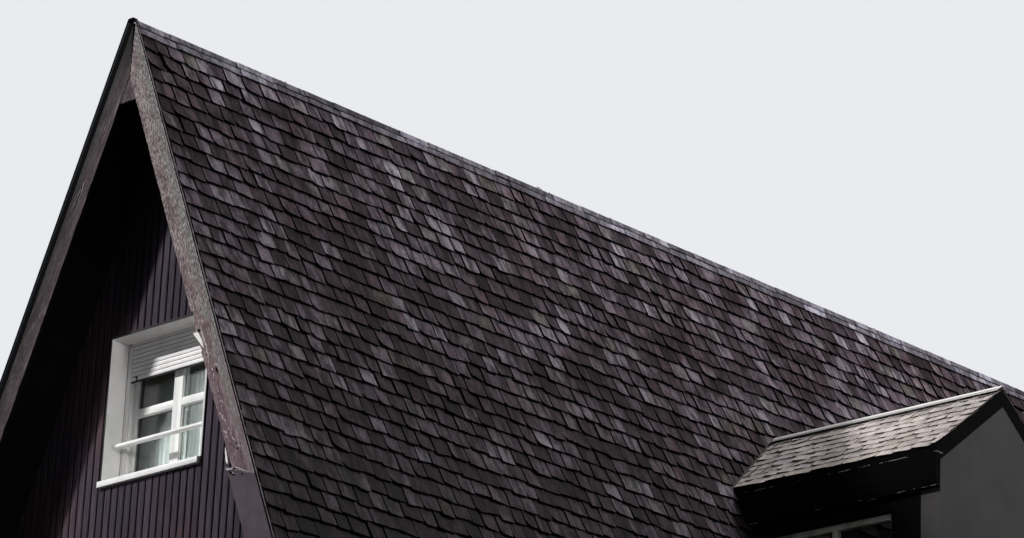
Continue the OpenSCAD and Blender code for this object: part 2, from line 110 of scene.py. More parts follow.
floor_paint = new_material("pale_studio_floor")
ray = add(floor_paint, "LightPath").outputs
shade = blend(floor_paint, ray["Is Diffuse Ray"], linear("505050"), linear("3a3a3a"))
even = add(floor_paint, "MapRange", {"Value": ray["Is Camera Ray"]}, To_Max=0.64).outputs[0]
solid = add(floor_paint, "BsdfPrincipled", {"Base Color": shade, "Emission Strength": even,
                                            "Emission Color": linear("f6f7f8")}, Roughness=0.8)
clear = add(floor_paint, "BsdfTransparent")
from_below = add(floor_paint, "NewGeometry").outputs["Backfacing"]
hide = calc(floor_paint, "MULTIPLY", from_below, ray["Is Camera Ray"])
mix = add(floor_paint, "MixShader", {0: hide, 1: solid.outputs[0], 2: clear.outputs[0]})
add(floor_paint, "OutputMaterial", {"Surface": mix.outputs[0]})
bpy.ops.object.select_all(action="DESELECT")
bpy.ops.mesh.primitive_circle_add(vertices=96, radius=90, fill_type="NGON", location=(0, 0, -0.002))
floor = bpy.context.object
floor.name = "studio_floor"
bpy.ops.object.transform_apply(location=True)
coat(floor, floor_paint)

world = bpy.data.worlds.new("studio")
scene.world = world
world.use_nodes = True
world.node_tree.nodes.clear()
ray = add(world, "LightPath").outputs
seen = calc(world, "MAXIMUM", ray["Is Camera Ray"], ray["Is Glossy Ray"])
seen = calc(world, "MAXIMUM", seen, ray["Is Transmission Ray"])
glow = add(world, "Background", {"Color": linear("c9cdd6")}, Strength=0.12)
pale = add(world, "Background", {"Color": linear("e9ebee")}, Strength=1.0)
mix = add(world, "MixShader", {0: seen, 1: glow.outputs[0], 2: pale.outputs[0]})
add(world, "OutputWorld", {"Surface": mix.outputs[0]})


def hang_lamp(name, kind, place, target, power, **settings):
    lamp = bpy.data.objects.new(name, bpy.data.lights.new(name, kind))
    lamp.data.energy = power
    for key, value in settings.items():
        setattr(lamp.data, key, value)
    scene.collection.objects.link(lamp)
    toward = (Vector(target) - Vector(place)).to_track_quat("-Z", "Y")
    lamp.matrix_world = Matrix.Translation(place) @ toward.to_matrix().to_4x4()


RIGHT_STAND = (22, -15, 3)
hang_lamp("sun_lamp", "AREA", (-12.8, -23.0, 18.6), (0, -4.5, 2), 9600, size=1.5)
hang_lamp("fill_lamp", "AREA", RIGHT_STAND, (0, -5.5, 2), 130, size=4)
hang_lamp("window_lamp", "SPOT", RIGHT_STAND, (0.15, -5.4, 1.75), 12500,
          spot_size=math.radians(4.9), spot_blend=0.7, shadow_soft_size=1.2)
hang_lamp("slope_lamp", "AREA", (9, 6, 15), (1, -1, 2.5), 2500, size=5)
hang_lamp("back_lamp", "AREA", (-14, 18, 10), (0, 3, 2.5), 3600, size=8)

# ---- Roof slates ----
# Riven natural slates about 170 mm wide, nailed in courses that show 160 mm. Each is dressed by
# hand, so a lower corner is often clipped, and each head lies under the course above it. They
# stop at the gables and are cut along the side dormer.
APEX, HALF = 4.750, math.radians(23.75)
COURSE, SLATE_T = 0.160, 0.012
SLATE_TOP, SLATE_FOOT = 0.160, 0.012


def right_slope(s, v, o):
    """A point s along the roof, v down its right slope and o out from its boarding."""
    return (v * math.sin(HALF) + o * math.cos(HALF), s, APEX - v * math.cos(HALF) + o * math.sin(HALF))


def left_slope(s, v, o):
    x, y, z = right_slope(s, v, o)
    return (-x, y, z)


def slate_outline(left_cut, right_cut, nibble):
    """Outline of one slate 0.2 m wide with its tail at 0: a plane whose tail corners are cut."""
    bpy.ops.object.select_all(action="DESELECT")
    bpy.ops.mesh.primitive_plane_add(size=1)
    blank = bpy.context.object
    bpy.ops.object.mode_set(mode="EDIT")
    bpy.ops.transform.resize(value=(0.2, 0.23, 1))
    bpy.ops.transform.translate(value=(0, 0.115, 0))
    bpy.ops.mesh.select_mode(type="VERT")
    for place, cut in ((-0.1, left_cut), (0.1, right_cut)):
        shape = bmesh.from_edit_mesh(blank.data)
        for corner in shape.verts:
            corner.select = abs(corner.co.x - place) < 1e-4 and corner.co.y < 1e-4
        shape.select_flush_mode()
        bmesh.update_edit_mesh(blank.data)
        bpy.ops.mesh.bevel(affect="VERTICES", offset=cut, segments=2 if cut > 0.03 else 1, profile=0.35)
    bpy.ops.object.mode_set(mode="OBJECT")
    points = blank.data.vertices
    outline = [(points[i].co.x, points[i].co.y) for i in blank.data.polygons[0].vertices]
    low = min(range(len(outline)), key=lambda i: (round(outline[i][1], 4), outline[i][0]))
    outline = outline[low:] + outline[:low]
    if nibble:
        (x0, y0), (x1, y1) = outline[0], outline[1]
        outline[1:1] = [(x0 + (x1 - x0) * 0.35, nibble), (x0 + (x1 - x0) * 0.62, nibble * 0.3)]
    bpy.data.objects.remove(blank)
    return outline


slate_outlines = [slate_outline(*cuts) for cuts in (
    (0.004, 0.003, 0), (0.006, 0.005, 0.002), (0.010, 0.004, -0.002), (0.005, 0.010, 0),
    (0.018, 0.004, 0.003), (0.044, 0.004, 0), (0.030, 0.016, 0), (0.004, 0.007, -0.003))]


def keep_side(points, distance):
    """The part of a flat outline where distance, a linear function, is above zero."""
    kept = []
    for i, here in enumerate(points):
        there = points[(i + 1) % len(points)]
        a, b = distance(*here), distance(*there)
        if a >= 0:
            kept.append(here)
        if (a > 0 > b) or (a < 0 < b):
            t = a / (a - b)
            kept.append((here[0] + (there[0] - here[0]) * t, here[1] + (there[1] - here[1]) * t))
    return kept


def piece_of(name, corners, faces):
    """A new piece from corners and faces, linked into the scene."""
    mesh = bpy.data.meshes.new(name)
    mesh.from_pydata(corners, [], faces)
    piece = bpy.data.objects.new(name, mesh)
    scene.collection.objects.link(piece)
    return piece


def toned_piece(name, layer, corners, faces, sides, tones, flat, place=None):
    """A piece with two materials by face, a tone for each stone or board, a UV map in metres and, on
    request, each corner's place on its stone."""
    piece = piece_of(name, corners, faces)
    mesh = piece.data
    mesh.uv_layers.new(name=layer).data.foreach_set("uv", [n for uv in flat for n in uv])
    if place:
        spots = [n for spot in place for n in (*spot, 0)]
        mesh.attributes.new("place", "FLOAT_VECTOR", "CORNER").data.foreach_set("vector", spots)
    mesh.attributes.new("tone", "FLOAT", "FACE").data.foreach_set("value", tones)
    mesh.polygons.foreach_set("material_index", sides)
    return piece


def row_joints(start, end, width, above, fixed, draw):
    """Where the slates of one course meet, clear of the joints of the course above."""
    row, place = [start], start
    while place < end - width[1] * 1.3:
        for attempt in range(7):
            step = draw.uniform(*width)
            if all(abs(place + step - joint) > 0.04 for joint in above):
                break
        place += step
        row.append(place)
    rest = end - place
    row += [place + rest / 2, end] if rest > width[1] else [end]
    for mark in fixed:
        row[min(range(1, len(row) - 1), key=lambda i: abs(row[i] - mark))] = mark
    return row


def lay_slates(name, slope, start, end, tails, course, head, tail, clip, draw,
               width=(0.128, 0.215), gap=(0.004, 0.015), fixed=(), thick=SLATE_T, lively=1.0):
    """One piece of slates in courses. Each has its own tone, and a UV map that starts at a random place."""
    corners, faces, sides, tones, flat, place_on = [], [], [], [], [], []
    a, b, c, d = (Vector(slope(*p)) for p in ((0, 0, 0), (1, 0, 0), (0, 1, 0), (0, 0, 1)))
    turned = (b - a).cross(c - a).dot(d - a) > 0
    row = []
    for n, v_tail in enumerate(tails):
        row = row_joints(start, end, width, row, fixed, draw)
        for s0, s1 in zip(row, row[1:]):
            outline = draw.choice(slate_outlines)
            tone, lift, slip = draw.random(), draw.uniform(0, 0.005), draw.gauss(0, 0.0085)
            if draw.random() < 0.012:  # a nail has let go
                slip += draw.uniform(0.008, 0.022)
            tilt, slant, skew = (draw.gauss(*spread) * lively for spread in ((-0.0028, 0.0035), (0, 0.046), (0, 0.022)))
            shift_u, shift_v = draw.uniform(0, 40), draw.uniform(0, 40)
            middle, wide = (s0 + s1) / 2, s1 - s0 - draw.choice((gap[0] / 4, draw.uniform(*gap)))
            points = [(middle + x + (wide / 2 - 0.1) * (1 if x > 0 else -1) + (y - 0.08) * skew,
                       v_tail + slip - y + x * slant) for x, y in outline]
            points = keep_side(points, lambda s, v: v - SLATE_TOP * 0.7) if n == 0 else points
            points = clip(points)
            if len(points) < 3:
                continue
            if turned:
                points = points[::-1]
            first, count = len(corners), len(points)
            rises = [head + lift * 0.3 + (tail - head + lift) * (v - v_tail + course) / course
                     + tilt * (s - middle) / 0.1 for s, v in points]
            for drop in (0, thick):
                corners += [slope(s, v, rise - drop) for (s, v), rise in zip(points, rises)]
            rings = [list(range(count))[::-1]]
            rings += [[i, (i + 1) % count, count + (i + 1) % count, count + i] for i in range(count)]
            for k, ring in enumerate(rings):
                faces.append([first + i for i in ring])
                on_ring = [points[i % count] for i in ring]
                flat += [(s + shift_u, v + shift_v) for s, v in on_ring]
                place_on += [((s - middle) / wide + 0.5, (v - v_tail + course) / course) for s, v in on_ring]
                sides.append(0 if k == 0 else 1)
                tones.append(tone)
    return toned_piece(name, "slate", corners, faces, sides, tones, flat, place_on)


def mapped(material, socket, low, high, start, end):
    """A socket's value carried from one range to another."""
    fitted = add(material, "MapRange", {"Value": socket}, From_Min=low, From_Max=high, To_Min=start, To_Max=end)
    return fitted.outputs[0]


def product(material, fields):
    """Several fields, each carried from one range to another and then multiplied."""
    total = None
    for field in fields:
        part = mapped(material, *field)
        total = calc(material, "MULTIPLY", total, part) if total else part
    return total


def coordinates(material, kind="Object", stretch=None):
    """The material's coordinates, drawn out along the axes where stretch says so."""
    where = add(material, "TexCoord").outputs[kind]
    return add(material, "Mapping", {"Vector": where}, Scale=stretch).outputs[0] if stretch else where


def axes(material, vector):
    return add(material, "SeparateXYZ", {"Vector": vector}).outputs


def texture(material, vector, scale, detail, rough=0.5, warp=0.0):
    """The value of a noise texture."""
    made = add(material, "TexNoise", {"Vector": vector}, Scale=scale, Detail=detail, Roughness=rough, Distortion=warp)
    return made.outputs["Fac"]


def ramp(material, value, *stops):
    """Colours by value, the stops in rising order."""
    made = add(material, "ValToRGB", {"Fac": value})
    for i, (place, colour) in enumerate((stops[0], stops[-1], *stops[1:-1])):
        stop = made.color_ramp.elements[i] if i < 2 else made.color_ramp.elements.new(place)
        stop.position, stop.color = place, linear(colour)
    return made.outputs[0]


def times(material, colour, other):
    return add(material, "VectorMath", {0: colour, 1: other}, operation="MULTIPLY").outputs[0]


def scaled(material, colour, factor):
    return add(material, "VectorMath", {0: colour, 3: factor}, operation="SCALE").outputs[0]


def finish(material, colour, rough, bump=None, spec=0.5, **links):
    """The surface and the output. bump is a height, its strength and its depth in metres."""
    if bump:
        links["Normal"] = add(material, "Bump", {"Height": bump[0]}, Strength=bump[1], Distance=bump[2]).outputs[0]
    links.update({"Base Color": colour, "Roughness": rough, "Specular IOR Level": spec})
    face = add(material, "BsdfPrincipled", links)
    add(material, "OutputMaterial", {"Surface": face.outputs[0]})
    return material


def coated(name, stops, scale, detail, rough, spec=0.5, relief=None, stretch=None, fine=0.5, warp=0.0):
    """A material of one noise: colours over it and, with relief (strength and depth), a bump from it."""
    material = new_material(name)
    speck = texture(material, coordinates(material, stretch=stretch), scale, detail, fine, warp)
    return finish(material, ramp(material, speck, *stops), rough, (speck, *relief) if relief else None, spec)


def slate_finish(name, tones, stain, streaks, rough, foot=1.0, under=0.5, joint=0.55, crest=1.5, painted_light_across=None):
    """Riven slate: dull and slightly silky, with rain streaks down each stone and darker side joints.
    Each stone is paler along one side edge, wear and a painted highlight, and darker towards its head
    and just under the course above, painted shade. The roof is darker towards its foot and paler
    towards its ridge, a painted sheen. painted_light_across brightens the stones near the house against
    those far from it: painted light where the main roof shades them."""
    stone = new_material(name)
    where = add(stone, "TexCoord").outputs
    spot = axes(stone, add(stone, "Attribute", attribute_name="place").outputs["Vector"])
    height = axes(stone, where["Object"])
    down = add(stone, "Mapping", {"Vector": where["UV"]}, Scale=(11, 2.8, 1), Rotation=(0, 0, 0.12))
    streak = texture(stone, down.outputs[0], 1.0, 5.0, 0.66)
    ragged = calc(stone, "ADD", spot["X"], streak)
    grit = texture(stone, where["Object"], 42.0, 4.0, 0.65)
    off_middle = calc(stone, "ABSOLUTE", calc(stone, "SUBTRACT", spot["X"], 0.5))
    # Paler along one side edge: wear and a painted highlight. Darker at the head and just under the course above:
    # painted shade. Paler towards the ridge: a painted sheen.
    fields = [(streak, 0.42, 0.58, *streaks), (ragged, 0.50, 0.66, 1.55, 1.0),
              (spot["Y"], -0.05, 0.5, 0.70, 1.0), (spot["Y"], 0.0, 0.11, under, 1.0),
              (grit, 0.32, 0.68, 0.72, 1.28), (height["Z"], 0.4, 4.4, foot, crest),
              (off_middle, 0.455, 0.49, 1.0, joint)]
    if painted_light_across:
        fields.append((height["X"], 0.9, 2.9, *painted_light_across))
    own = add(stone, "Attribute", attribute_name="tone").outputs["Fac"]
    patch = ramp(stone, texture(stone, where["Object"], 1.3, 6.0, 0.72), (0.40, stain), (0.60, "ffffff"))
    colour = scaled(stone, times(stone, ramp(stone, own, *tones), patch), product(stone, fields))
    riven = texture(stone, where["UV"], 24.0, 6.0, 0.6, 0.6)
    dull = mapped(stone, riven, 0, 1, rough, rough + 0.22)
    return finish(stone, colour, dull, (riven, 0.7, 0.005), spec=0.04)


def edge_dirt_and_shade(name, dark, light):
    """The dressed edge of a slate or board, rough from the knife, coloured dark: soot and moss, and painted shade under
    the tails and along the sides.
    """
    return coated(name, ((0.35, dark), (0.8, light)), 45.0, 4.0, 0.9, 0.1, (0.6, 0.003))


def settle(piece, slot, *nodes):
    """The piece rides on the house, its one body, and stands for these CAD nodes."""
    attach(piece, "root")
    if nodes:
        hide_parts(*nodes)


# Side dormer lines that the slates are cut along: its ridge, its eaves and its walls
WING_Y, WING_HALF, WING_RIDGE, WING_PITCH = 1.008, 0.912, 2.808, math.radians(38.3)
WING_EAVE, FASCIA_Z = 0.056, 1.745


def wing_top(y, o):
    return WING_RIDGE - abs(y - WING_Y) * math.tan(WING_PITCH) + o / math.cos(WING_PITCH)


def cut_at_foot(points):
    return keep_side(points, lambda s, v: APEX + 0.03 * math.sin(HALF) - v * math.cos(HALF) - SLATE_FOOT)


def round_side_dormer(points):
    """Cuts a slate of the right slope along the side dormer, and at the roof's foot."""
    points = cut_at_foot(points)
    if not points:
        return points
    y = sum(p[0] for p in points) / len(points)
    z = APEX - sum(p[1] for p in points) / len(points) * math.cos(HALF)
    way = 1 if y > WING_Y else -1
    if z > wing_top(WING_Y + WING_HALF, 0.03):
        line = lambda s, v: (APEX + 0.012 - v * math.cos(HALF)) - (
            WING_RIDGE + 0.038 - way * (s - WING_Y) * math.tan(WING_PITCH)) - 0.004
    else:
        edge = WING_Y + way * (WING_HALF - (WING_EAVE if z < FASCIA_Z else 0)) + way * 0.004
        line = lambda s, v: way * (s - edge)
    return keep_side(points, line)


dark_slate = slate_finish("riven_dark_slate", (
    (0.0, "241d20"), (0.12, "2b2428"), (0.3, "362e33"), (0.5, "433b41"), (0.70, "50484f"), (0.86, "5f595f"),
    (0.92, "464441"), (0.955, "625e64"), (1.0, "6b676e")), "b0a09e", (0.40, 1.95), 0.6, foot=0.36)
slate_edge = edge_dirt_and_shade("slate_edge_soot_and_shade", "060505", "171415")
FOOT_X = -2.1239  # no slate reaches further out than this at the foot
slate_tails = [SLATE_TOP + COURSE * (i + 1) for i in range(32)]
for name, node, slope, reach, clip, fixed, seed in (
        ("slates_right_side", "slates_right", right_slope, 5.977, round_side_dormer, (WING_Y,), 4),
        ("slates_left_side", "slates_left", left_slope, 5.989, cut_at_foot, (), 9)):
    slates = lay_slates(name, slope, -reach, reach, slate_tails, COURSE, 0.020, 0.036, clip,
                        random.Random(seed), fixed=fixed)
    coat(slates, dark_slate, slate_edge)
    for corner in slates.data.vertices:
        corner.co.x = max(corner.co.x, FOOT_X)
    settle(slates, "dark_slate", node)

# ---- Ridge ----
# Two rows of narrow slates lie over the top course on each slope, in lengths of about 0.4 m, and
# a bead of lime mortar closes the comb between them. The mortar is rough, chipped and paler.
RIDGE_REACH = 5.978


def narrow_slates(slope, v_low, v_high, lift, draw):
    """A row of long slates along the ridge, each slightly skewed and lapped on the next."""
    lengths, place = [], -RIDGE_REACH
    while place < RIDGE_REACH - 0.5:
        lengths.append((place, place + draw.uniform(0.33, 0.45)))
        place = lengths[-1][1]
    lengths.append((place, RIDGE_REACH))
    corners, faces, sides, tones, flat, place_on = [], [], [], [], [], []
    for s0, s1 in lengths:
        sag, skew, up, tone = draw.gauss(0, 0.003), draw.gauss(0, 0.004), draw.uniform(0, 0.004), draw.random()
        foot = v_low + sag
        outline = [(s0 + 0.002, v_high), (s1 + 0.012, v_high), (s1 + 0.012, foot + skew - 0.004),
                   (s1 + 0.004, foot + skew), ((s0 + s1) / 2, foot + draw.gauss(0, 0.002)),
                   (s0 + 0.016, foot - skew), (s0 + 0.002, foot - skew - draw.uniform(0.006, 0.02))]
        first, count = len(corners), len(outline)
        for rise in (0.004, -0.007):
            corners += [slope(s, v, lift + up + 0.0035 * (s1 - s) / (s1 - s0) + rise) for s, v in outline]
        rings = [list(range(count)), [count + i for i in range(count)][::-1]]
        rings += [[i, count + i, count + (i + 1) % count, (i + 1) % count] for i in range(count)]
        for n, ring in enumerate(rings):
            ring = ring if slope is left_slope else ring[::-1]
            faces.append([first + i for i in ring])
            on_ring = [outline[i % count] for i in ring]
            flat += [(s + tone * 30, v + tone * 20) for s, v in on_ring]
            place_on += [((s - s0) / (s1 - s0), 0.5 + 0.5 * (v - v_high) / (v_low - v_high)) for s, v in on_ring]
            sides.append(0 if n == 0 else 1)
            tones.append(tone)
    return toned_piece("row", "slate", corners, faces, sides, tones, flat, place_on)


def grid(name, columns, rows):
    """A flat grid 2 m square, whose points are then put where they belong."""
    bpy.ops.object.select_all(action="DESELECT")
    bpy.ops.mesh.primitive_grid_add(x_subdivisions=columns, y_subdivisions=rows, size=2)
    bpy.context.object.name = name
    return bpy.context.object


def thicken(piece, thickness, offset):
    bpy.ops.object.modifier_add(type="SOLIDIFY")
    piece.modifiers[-1].thickness, piece.modifiers[-1].offset = thickness, offset
    bpy.ops.object.modifier_apply(modifier=piece.modifiers[-1].name)


def ripple(x, y, z):
    """Smooth chance between -1 and 1, always the same at one place."""
    return noise.noise(Vector((x, y, z)))


ridge_slate = slate_finish("riven_ridge_slate", ((0.0, "403d42"), (0.5, "605d66"), (1.0, "7f7c86")),
                           "b8b2b4", (0.55, 1.6), 0.55)
sizes = ((0.168, 0.094, 0.030), (0.106, 0.048, 0.038))
rows = [(slope, *size) for slope in (right_slope, left_slope) for size in sizes]
rows = [narrow_slates(*row, random.Random(30 + n)) for n, row in enumerate(rows)]
bpy.ops.object.select_all(action="DESELECT")
for row in rows:
    row.select_set(True)
bpy.context.view_layer.objects.active = rows[0]
bpy.ops.object.join()
ridge = bpy.context.object
ridge.name = "ridge_slate_rows"
coat(ridge, ridge_slate, slate_edge)

comb = grid("ridge_mortar", 14, 1100)
for point in comb.data.vertices:
    across, y = point.co.x, point.co.y * 5.972
    chip = ripple(across * 1.5, y * 9, 1) + 0.6 * ripple(across * 4, y * 31, 5)
    broad = ripple(0, y * 1.3, 9)
    crumb = max(0, ripple(across * 3, y * 47, 8)) * max(0, ripple(2, y * 2.1, 3) + 0.35)
    height = APEX - 0.003 - abs(across) ** 1.6 * 0.058
    height += (0.012 * chip + 0.006 * broad + 0.040 * crumb) * (1 - 0.5 * across ** 2)
    point.co = (across * (0.070 + 0.006 * broad + 0.004 * chip), y, min(height, APEX + 0.0148))
thicken(comb, 0.02, -1)
bpy.ops.object.shade_smooth_by_angle(angle=math.radians(35))
mortar = new_material("weathered_lime_mortar")  # porous and chalky; paler on its crest and darker down its sides, partly rain-washed and partly a painted highlight and shade
where = coordinates(mortar)
lump = texture(mortar, where, 22.0, 6.0, 0.65)
tint = ramp(mortar, lump, (0.34, "5a575c"), (0.47, "a4a1a8"), (0.60, "f4f2f4"))
off_crest = calc(mortar, "ABSOLUTE", axes(mortar, where)["X"])
crest_lit_tint = scaled(mortar, tint, mapped(mortar, off_crest, 0.008, 0.026, 1.25, 0.5))
finish(mortar, crest_lit_tint, 0.92, (lump, 0.8, 0.006), spec=0.2)
coat(comb, mortar)
settle(ridge, "ridge_slate", "ridge_strips")
settle(comb, "ridge_slate", "ridge_strips")

# ---- Barge boards ----
# Planks 205 mm wide and 30 mm thick nailed to the rafters' ends, mitred at the peak. Their brown
# paint has mostly gone from the top, so silvery wood shows; lower down it peels, and the right
# board's inner edge has split. A sheet patches the right board's foot.
SHIFT, BOARD_W, BOARD_T, Y_FRONT, Y_LIMIT = 0.030, 0.205, 0.030, -5.991, -5.9995
MEND_Z, MEND_W = 0.686, 0.250
MEND_V = (APEX - MEND_Z) / math.cos(HALF)
LEFT_UV = 11  # the left boards' maps start this far on, so their grain differs


def choose(piece):
    """Makes a piece the only selected one, and the active one."""
    bpy.ops.object.select_all(action="DESELECT")
    piece.select_set(True)
    bpy.context.view_layer.objects.active = piece


def face_out(piece, depth=0.0):
    """Gives a flat piece its depth along y, and turns all its faces outwards."""
    choose(piece)
    bpy.ops.object.mode_set(mode="EDIT")
    bpy.ops.mesh.select_all(action="SELECT")
    if depth:
        bpy.ops.mesh.extrude_region_move(TRANSFORM_OT_translate={"value": (0, depth, 0)})
        bpy.ops.mesh.select_all(action="SELECT")
    bpy.ops.mesh.normals_make_consistent(inside=False)
    bpy.ops.object.mode_set(mode="OBJECT")


def board_mesh(name, width, v_start, v_end, edge, rows=11, step=0.012):
    """A plank down the right slope as a fine grid with thickness. v_start and v_end give its ends at
    each depth w, and edge(v) how much of its inner edge is gone."""
    plank = grid(name, rows, round((v_end(0) - v_start(width)) / step))
    for point in plank.data.vertices:
        w, t = (point.co.x + 1) / 2 * width, (point.co.y + 1) / 2
        v = v_start(w) * (1 - t) + v_end(w) * t
        w = min(w, width - edge(v) * max(0, w / width - 0.6) / 0.4) + 0.0012 * ripple(v * 9, w * 40, 3)
        x, s, z = right_slope(0, v, -w)
        point.co = (x + SHIFT, Y_FRONT - 0.0012 * ripple(v * 2.2, w * 70, 7), max(z, 0.0004))
    face_out(plank, BOARD_T)
    return plank


def mirror_x(piece):
    """Carries a piece of the right board over to the left one."""
    for point in piece.data.vertices:
        point.co.x = 2 * SHIFT - point.co.x


def peak_v(w):
    """Where a board starts at depth w: at the mitre, which has opened, most of all at its top."""
    return w / math.tan(HALF) + (0.0015 + 0.0125 * (1 - w / BOARD_W) ** 1.3) / math.sin(HALF)


def foot_v(w):
    return (APEX - w * math.sin(HALF)) / math.cos(HALF)


def split_edge(v):
    """Depth of wood that has gone from the right board's inner edge, v down from the peak."""
    worn = max(0, ripple(v * 7, 0, 2)) * 0.006
    if 2.7 < v < 4.5:
        worn += 0.034 * max(0, ripple(v * 4.3, 3, 2) + 0.35 * ripple(v * 21, 8, 2)) * min(1, (v - 2.7) / 0.2)
    return worn


def sound_edge(v):
    return max(0, ripple(v * 6, 5, 2)) * 0.005


def barge_finish(name, wood, paint, bare, dark_to, level, across=(1, 1), rim=1.7, torn_up=(0.94, 1.45)):
    """Softwood in the open. Near the peak it is silvery and finely pitted; lower down it is fibrous, with
    checks and pale torn strings and more of its brown paint. The outer third has stayed smoother and cooler.
    It is still tarred down to dark_to, and across says how sooty its outer edge is against the inner one."""
    board = new_material(name)
    spot = axes(board, coordinates(board, "UV"))
    along = spot["Y"]
    grain, cloud, flake, check, string = (
        texture(board, coordinates(board, "UV", stretch), 1.0, detail, fine, 0.3) for stretch, detail, fine in (
            ((84, 25, 1), 4, 0.68), ((11, 4, 1), 6, 0.65), ((30, 10, 1), 8, 0.7), ((38, 2.1, 1), 3, 0.5),
            ((75, 4.5, 1), 5, 0.6)))
    fibres = blend(board, mapped(board, along, 2.2, 3.7, 0, 0.62), grain, 0.5, "FLOAT")
    lean_to = calc(board, "ADD", cloud, mapped(board, spot["X"], 0.03, 0.14, 0.16, -0.06))
    lean_to = calc(board, "SUBTRACT", lean_to, mapped(board, along, 2.6, 4.2, 0, 0.15))
    bare_wood = ramp(board, fibres, (0.34, wood[0]), (0.5, wood[1]), (0.66, wood[2]))
    painted = ramp(board, fibres, (0.36, paint[0]), (0.64, paint[1]))
    tinge = ramp(board, lean_to, (0.36, "ecd6df"), (0.5, "faf2f3"), (0.66, "e0e5e8"))
    left = calc(board, "SUBTRACT", flake, mapped(board, along, 0.6, 4.6, *bare))
    line = calc(board, "ABSOLUTE", calc(board, "SUBTRACT", check, 0.5))
    torn = product(board, [(string, 0.55, 0.64, 0, 1), (along, 2.0, 3.4, 0.25, 1.0)])
    colour = blend(board, mapped(board, left, -0.02, 0.02, 0, 1), bare_wood, painted)
    depth = product(board, [(line, 0.0, 0.009, 0.45, 1), (torn, 0, 1, *torn_up), (spot["X"], 0.01, 0.19, *across),
                            (cloud, 0.34, 0.66, 0.66, 1.30), (along, dark_to - 0.22, dark_to + 0.10, 0.10, level),
                            (spot["X"], 0.003, 0.007, rim, 1.0)])
    final = scaled(board, times(board, colour, tinge), depth)
    return finish(board, final, 0.8, (calc(board, "ADD", grain, string), 0.6, 0.003), spec=0.1)


def plank_map(plank):
    """UV map in metres: across the plank from its outer edge, and down its length."""
    layer = plank.data.uv_layers[0] if plank.data.uv_layers else plank.data.uv_layers.new(name="plank")
    for loop in plank.data.loops:
        x, y, z = plank.data.vertices[loop.vertex_index].co
        down = abs(x - SHIFT) * math.sin(HALF) + (APEX - z) * math.cos(HALF)
        across = (APEX - z) * math.sin(HALF) - abs(x - SHIFT) * math.cos(HALF)
        layer.data[loop.index].uv = (across + (y - Y_FRONT), down + (LEFT_UV if x < SHIFT else 0))


bare_board = barge_finish("silvered_softwood_with_old_paint", ("3e393b", "77716f", "b2aca9"), ("4a4246", "897e82"),
                          (0.70, 0.46), -1, 1.0)
worn_board = barge_finish("silvered_softwood_tarred_at_peak", ("211e21", "565253", "8f8a88"), ("333033", "6c676b"),
                          (0.64, 0.54), 11.44, 0.80, (0.36, 1.14), 1.0, (0.78, 1.9))
board_edge_shade = edge_dirt_and_shade("board_edge_soot_and_shade", "070606", "151313")
for name, node, v_end, edge, fineness, is_left, is_back in (
        ("barge_board_right", "barge_front_right", lambda w: MEND_V + 0.10, split_edge, {}, False, False),
        ("barge_board_left", "barge_front_left", foot_v, lambda v: 0.014 + 1.8 * sound_edge(v), {}, True, False),
        ("barge_board_back_right", "barge_back_right", foot_v, sound_edge, {"rows": 5, "step": 0.03}, False, True),
        ("barge_board_back_left", "barge_back_left", foot_v, sound_edge, {"rows": 5, "step": 0.03}, True, True)):
    plank = board_mesh(name, BOARD_W, peak_v, v_end, edge, **fineness)
    if is_left:
        mirror_x(plank)
    if is_back:
        for point in plank.data.vertices:
            point.co.y = -point.co.y
    if is_left != is_back:
        plank.data.flip_normals()
    coat(plank, worn_board if is_left or is_back else bare_board, board_edge_shade)
    for side_face in plank.data.polygons:
        side_face.material_index = abs(side_face.normal.y) < 0.5
    plank_map(plank)
    settle(plank, "weathered_wood", node)

# The patch on the right board's foot is thin painted sheet, wrapped over the wood and nailed. Its
# slanting upper edge is torn and bent up, so bare metal shows as a pale line.
PATCH_V, PATCH_SLANT = 4.493, 0.834


def patch_start(w):
    return PATCH_V - PATCH_SLANT * w + 0.006 * ripple(w * 40, 2, 2) + 0.004 * math.sin(w * 90)


patch = board_mesh("barge_patch", MEND_W, patch_start, foot_v, lambda v: 0, rows=16, step=0.013)
for point in patch.data.vertices:
    if point.co.y < Y_FRONT + BOARD_T / 2:
        v = (point.co.x - SHIFT) * math.sin(HALF) + (APEX - point.co.z) * math.cos(HALF)
        w = (APEX - point.co.z) * math.sin(HALF) - (point.co.x - SHIFT) * math.cos(HALF)
        curl = max(0, 1 - (v - patch_start(w)) / 0.035)
        buckle = 0.0012 * ripple(point.co.x * 9, 0, point.co.z * 6)
        point.co.y += -0.0020 - 0.0035 * (1 + ripple(w * 25, 1, 1)) * curl * curl + buckle
patch_paint = new_material("brown_painted_sheet")  # smooth oil paint on zinc, bare and pale where the edge is torn
where = coordinates(patch_paint, "UV")
cloud = texture(patch_paint, where, 6.0, 5.0)
spot = axes(patch_paint, where)
reach = calc(patch_paint, "MULTIPLY_ADD", spot["X"], PATCH_SLANT, spot["Y"])
bite = calc(patch_paint, "MULTIPLY_ADD", texture(patch_paint, where, 60.0, 4.0), -0.05, reach)
rim = mapped(patch_paint, bite, PATCH_V - 0.017, PATCH_V - 0.009, 1, 0)
paint = blend(patch_paint, rim, ramp(patch_paint, cloud, (0.38, "43393f"), (0.62, "4c4349")), linear("7d7578"))
finish(patch_paint, paint, 0.6, (cloud, 0.25, 0.003), spec=0.08)
coat(patch, patch_paint)
plank_map(patch)
settle(patch, "mended_board", "barge_mend")

